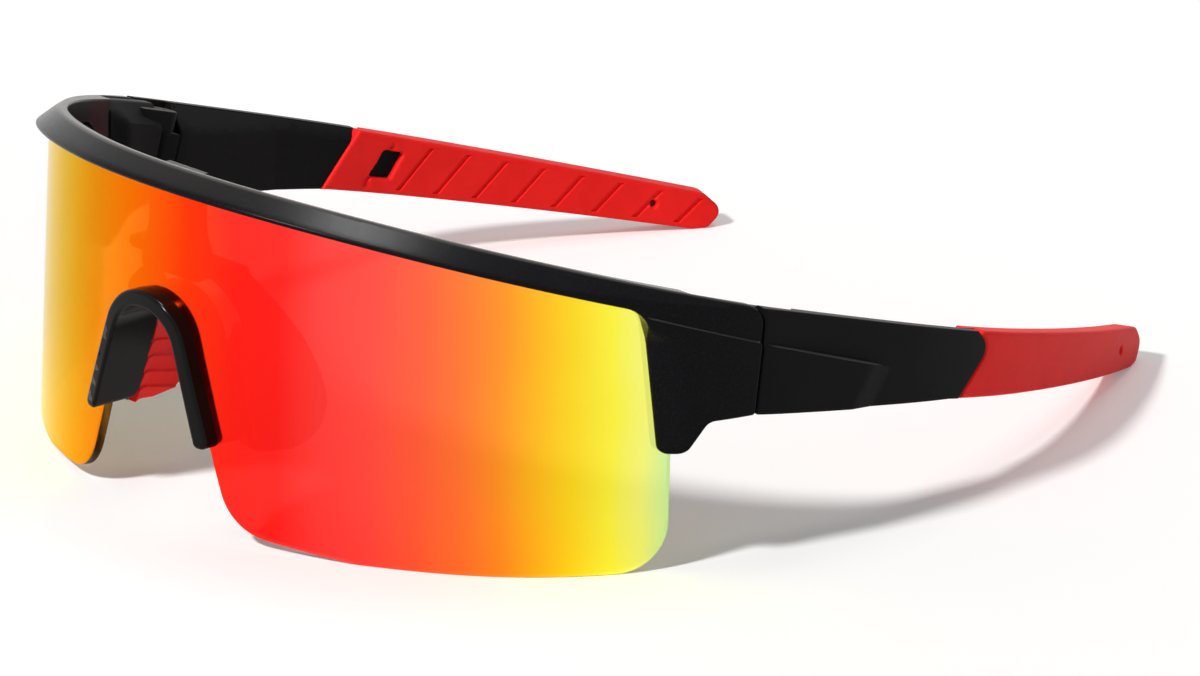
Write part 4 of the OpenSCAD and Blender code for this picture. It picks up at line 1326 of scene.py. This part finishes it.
# Floor, in metres: half its width, its sink, and the point that its glow grows away from
FLOOR_HALF, FLOOR_SINK = 20, 0.00002
GLOW_CENTRE, GLOW_NEAR, GLOW_FAR = (0, -0.25, 0), (0.22, 0.05), (0.8, 0.82)
# Name, place, aim, width, power, and whether the lamp lights dull surfaces as well
LAMPS = (
    ("front", (0, -680, 630), (0, -20, 20), 110, 7.9, True),
    ("overhead", (-40, 260, 900), (0, 60, 0), 500, 1.2, True),
    ("brow", (-50, -118, 740), (40, -75, 45), 140, 2.7, False))


def seen_directly(nodes, links):
    """1 for rays from the camera, from gloss and through the lens, 0 for light on the object."""
    path = add(nodes, "ShaderNodeLightPath").outputs
    first = calculated(nodes, links, "MAXIMUM", path["Is Camera Ray"], path["Is Glossy Ray"])
    return calculated(nodes, links, "MAXIMUM", first, path["Is Transmission Ray"])


def add_world():
    world = bpy.data.worlds.new("world")
    bpy.context.scene.world = world
    world.use_nodes = True
    nodes, links = world.node_tree.nodes, world.node_tree.links
    background = nodes["Background"]
    put(background, Color=WHITE)
    level = span(nodes, links, seen_directly(nodes, links), WORLD_LIGHT, WORLD_SEEN)
    links.new(level, background.inputs["Strength"])


def add_floor():
    mesh = bpy.data.meshes.new("floor")
    corners = [
        (x * FLOOR_HALF, y * FLOOR_HALF, 0) for x, y in ((-1, -1), (1, -1), (1, 1), (-1, 1))]
    mesh.from_pydata(corners, [], [(0, 1, 2, 3)])
    floor = new_object("floor", mesh)
    floor.location.z = -FLOOR_SINK
    material, nodes, links, shader = new_material("floor_white")
    put(shader, Base_Color=FLOOR_COLOUR, Roughness=0.9, Specular_IOR_Level=0.0)
    away = add(nodes, "ShaderNodeVectorMath", operation="DISTANCE")
    away.inputs[1].default_value = GLOW_CENTRE
    links.new(object_coordinates(nodes), away.inputs[0])
    glow = span(
        nodes, links, away.outputs["Value"], GLOW_NEAR[1], GLOW_FAR[1], GLOW_NEAR[0], GLOW_FAR[0])
    glow = calculated(nodes, links, "MULTIPLY", seen_directly(nodes, links), glow)
    put(shader, Emission_Color=WHITE)
    links.new(glow, shader.inputs["Emission Strength"])
    mesh.materials.append(material)


def add_lamps():
    for name, place, aim, width, power, lights_dull in LAMPS:
        data = bpy.data.lights.new(name, "AREA")
        data.shape = "DISK"
        data.size = width * MM
        data.energy = power
        lamp = new_object(name, data)
        lamp.location = Vector(place) * MM
        direction = (Vector(aim) - Vector(place)).normalized()
        lamp.rotation_mode = "QUATERNION"
        lamp.rotation_quaternion = direction.to_track_quat("-Z", "Y")
        lamp.visible_diffuse = lights_dull


add_camera()
add_world()
add_floor()
add_lamps()

fleck, soft, gloss = satin_fleck(), soft_black(), gloss_black()
rubber, steel = red_rubber(), screw_steel()
front_moulding(fleck, soft)
shield(mirror(), smoke())
nose_clip(gloss)
for side in ("left", "right"):
    nose_pad(side, rubber)
    temple(side, soft)
    sleeve(side, rubber)
    hinge_screw(side, steel)

bpy.context.scene.view_settings.view_transform = "Standard"
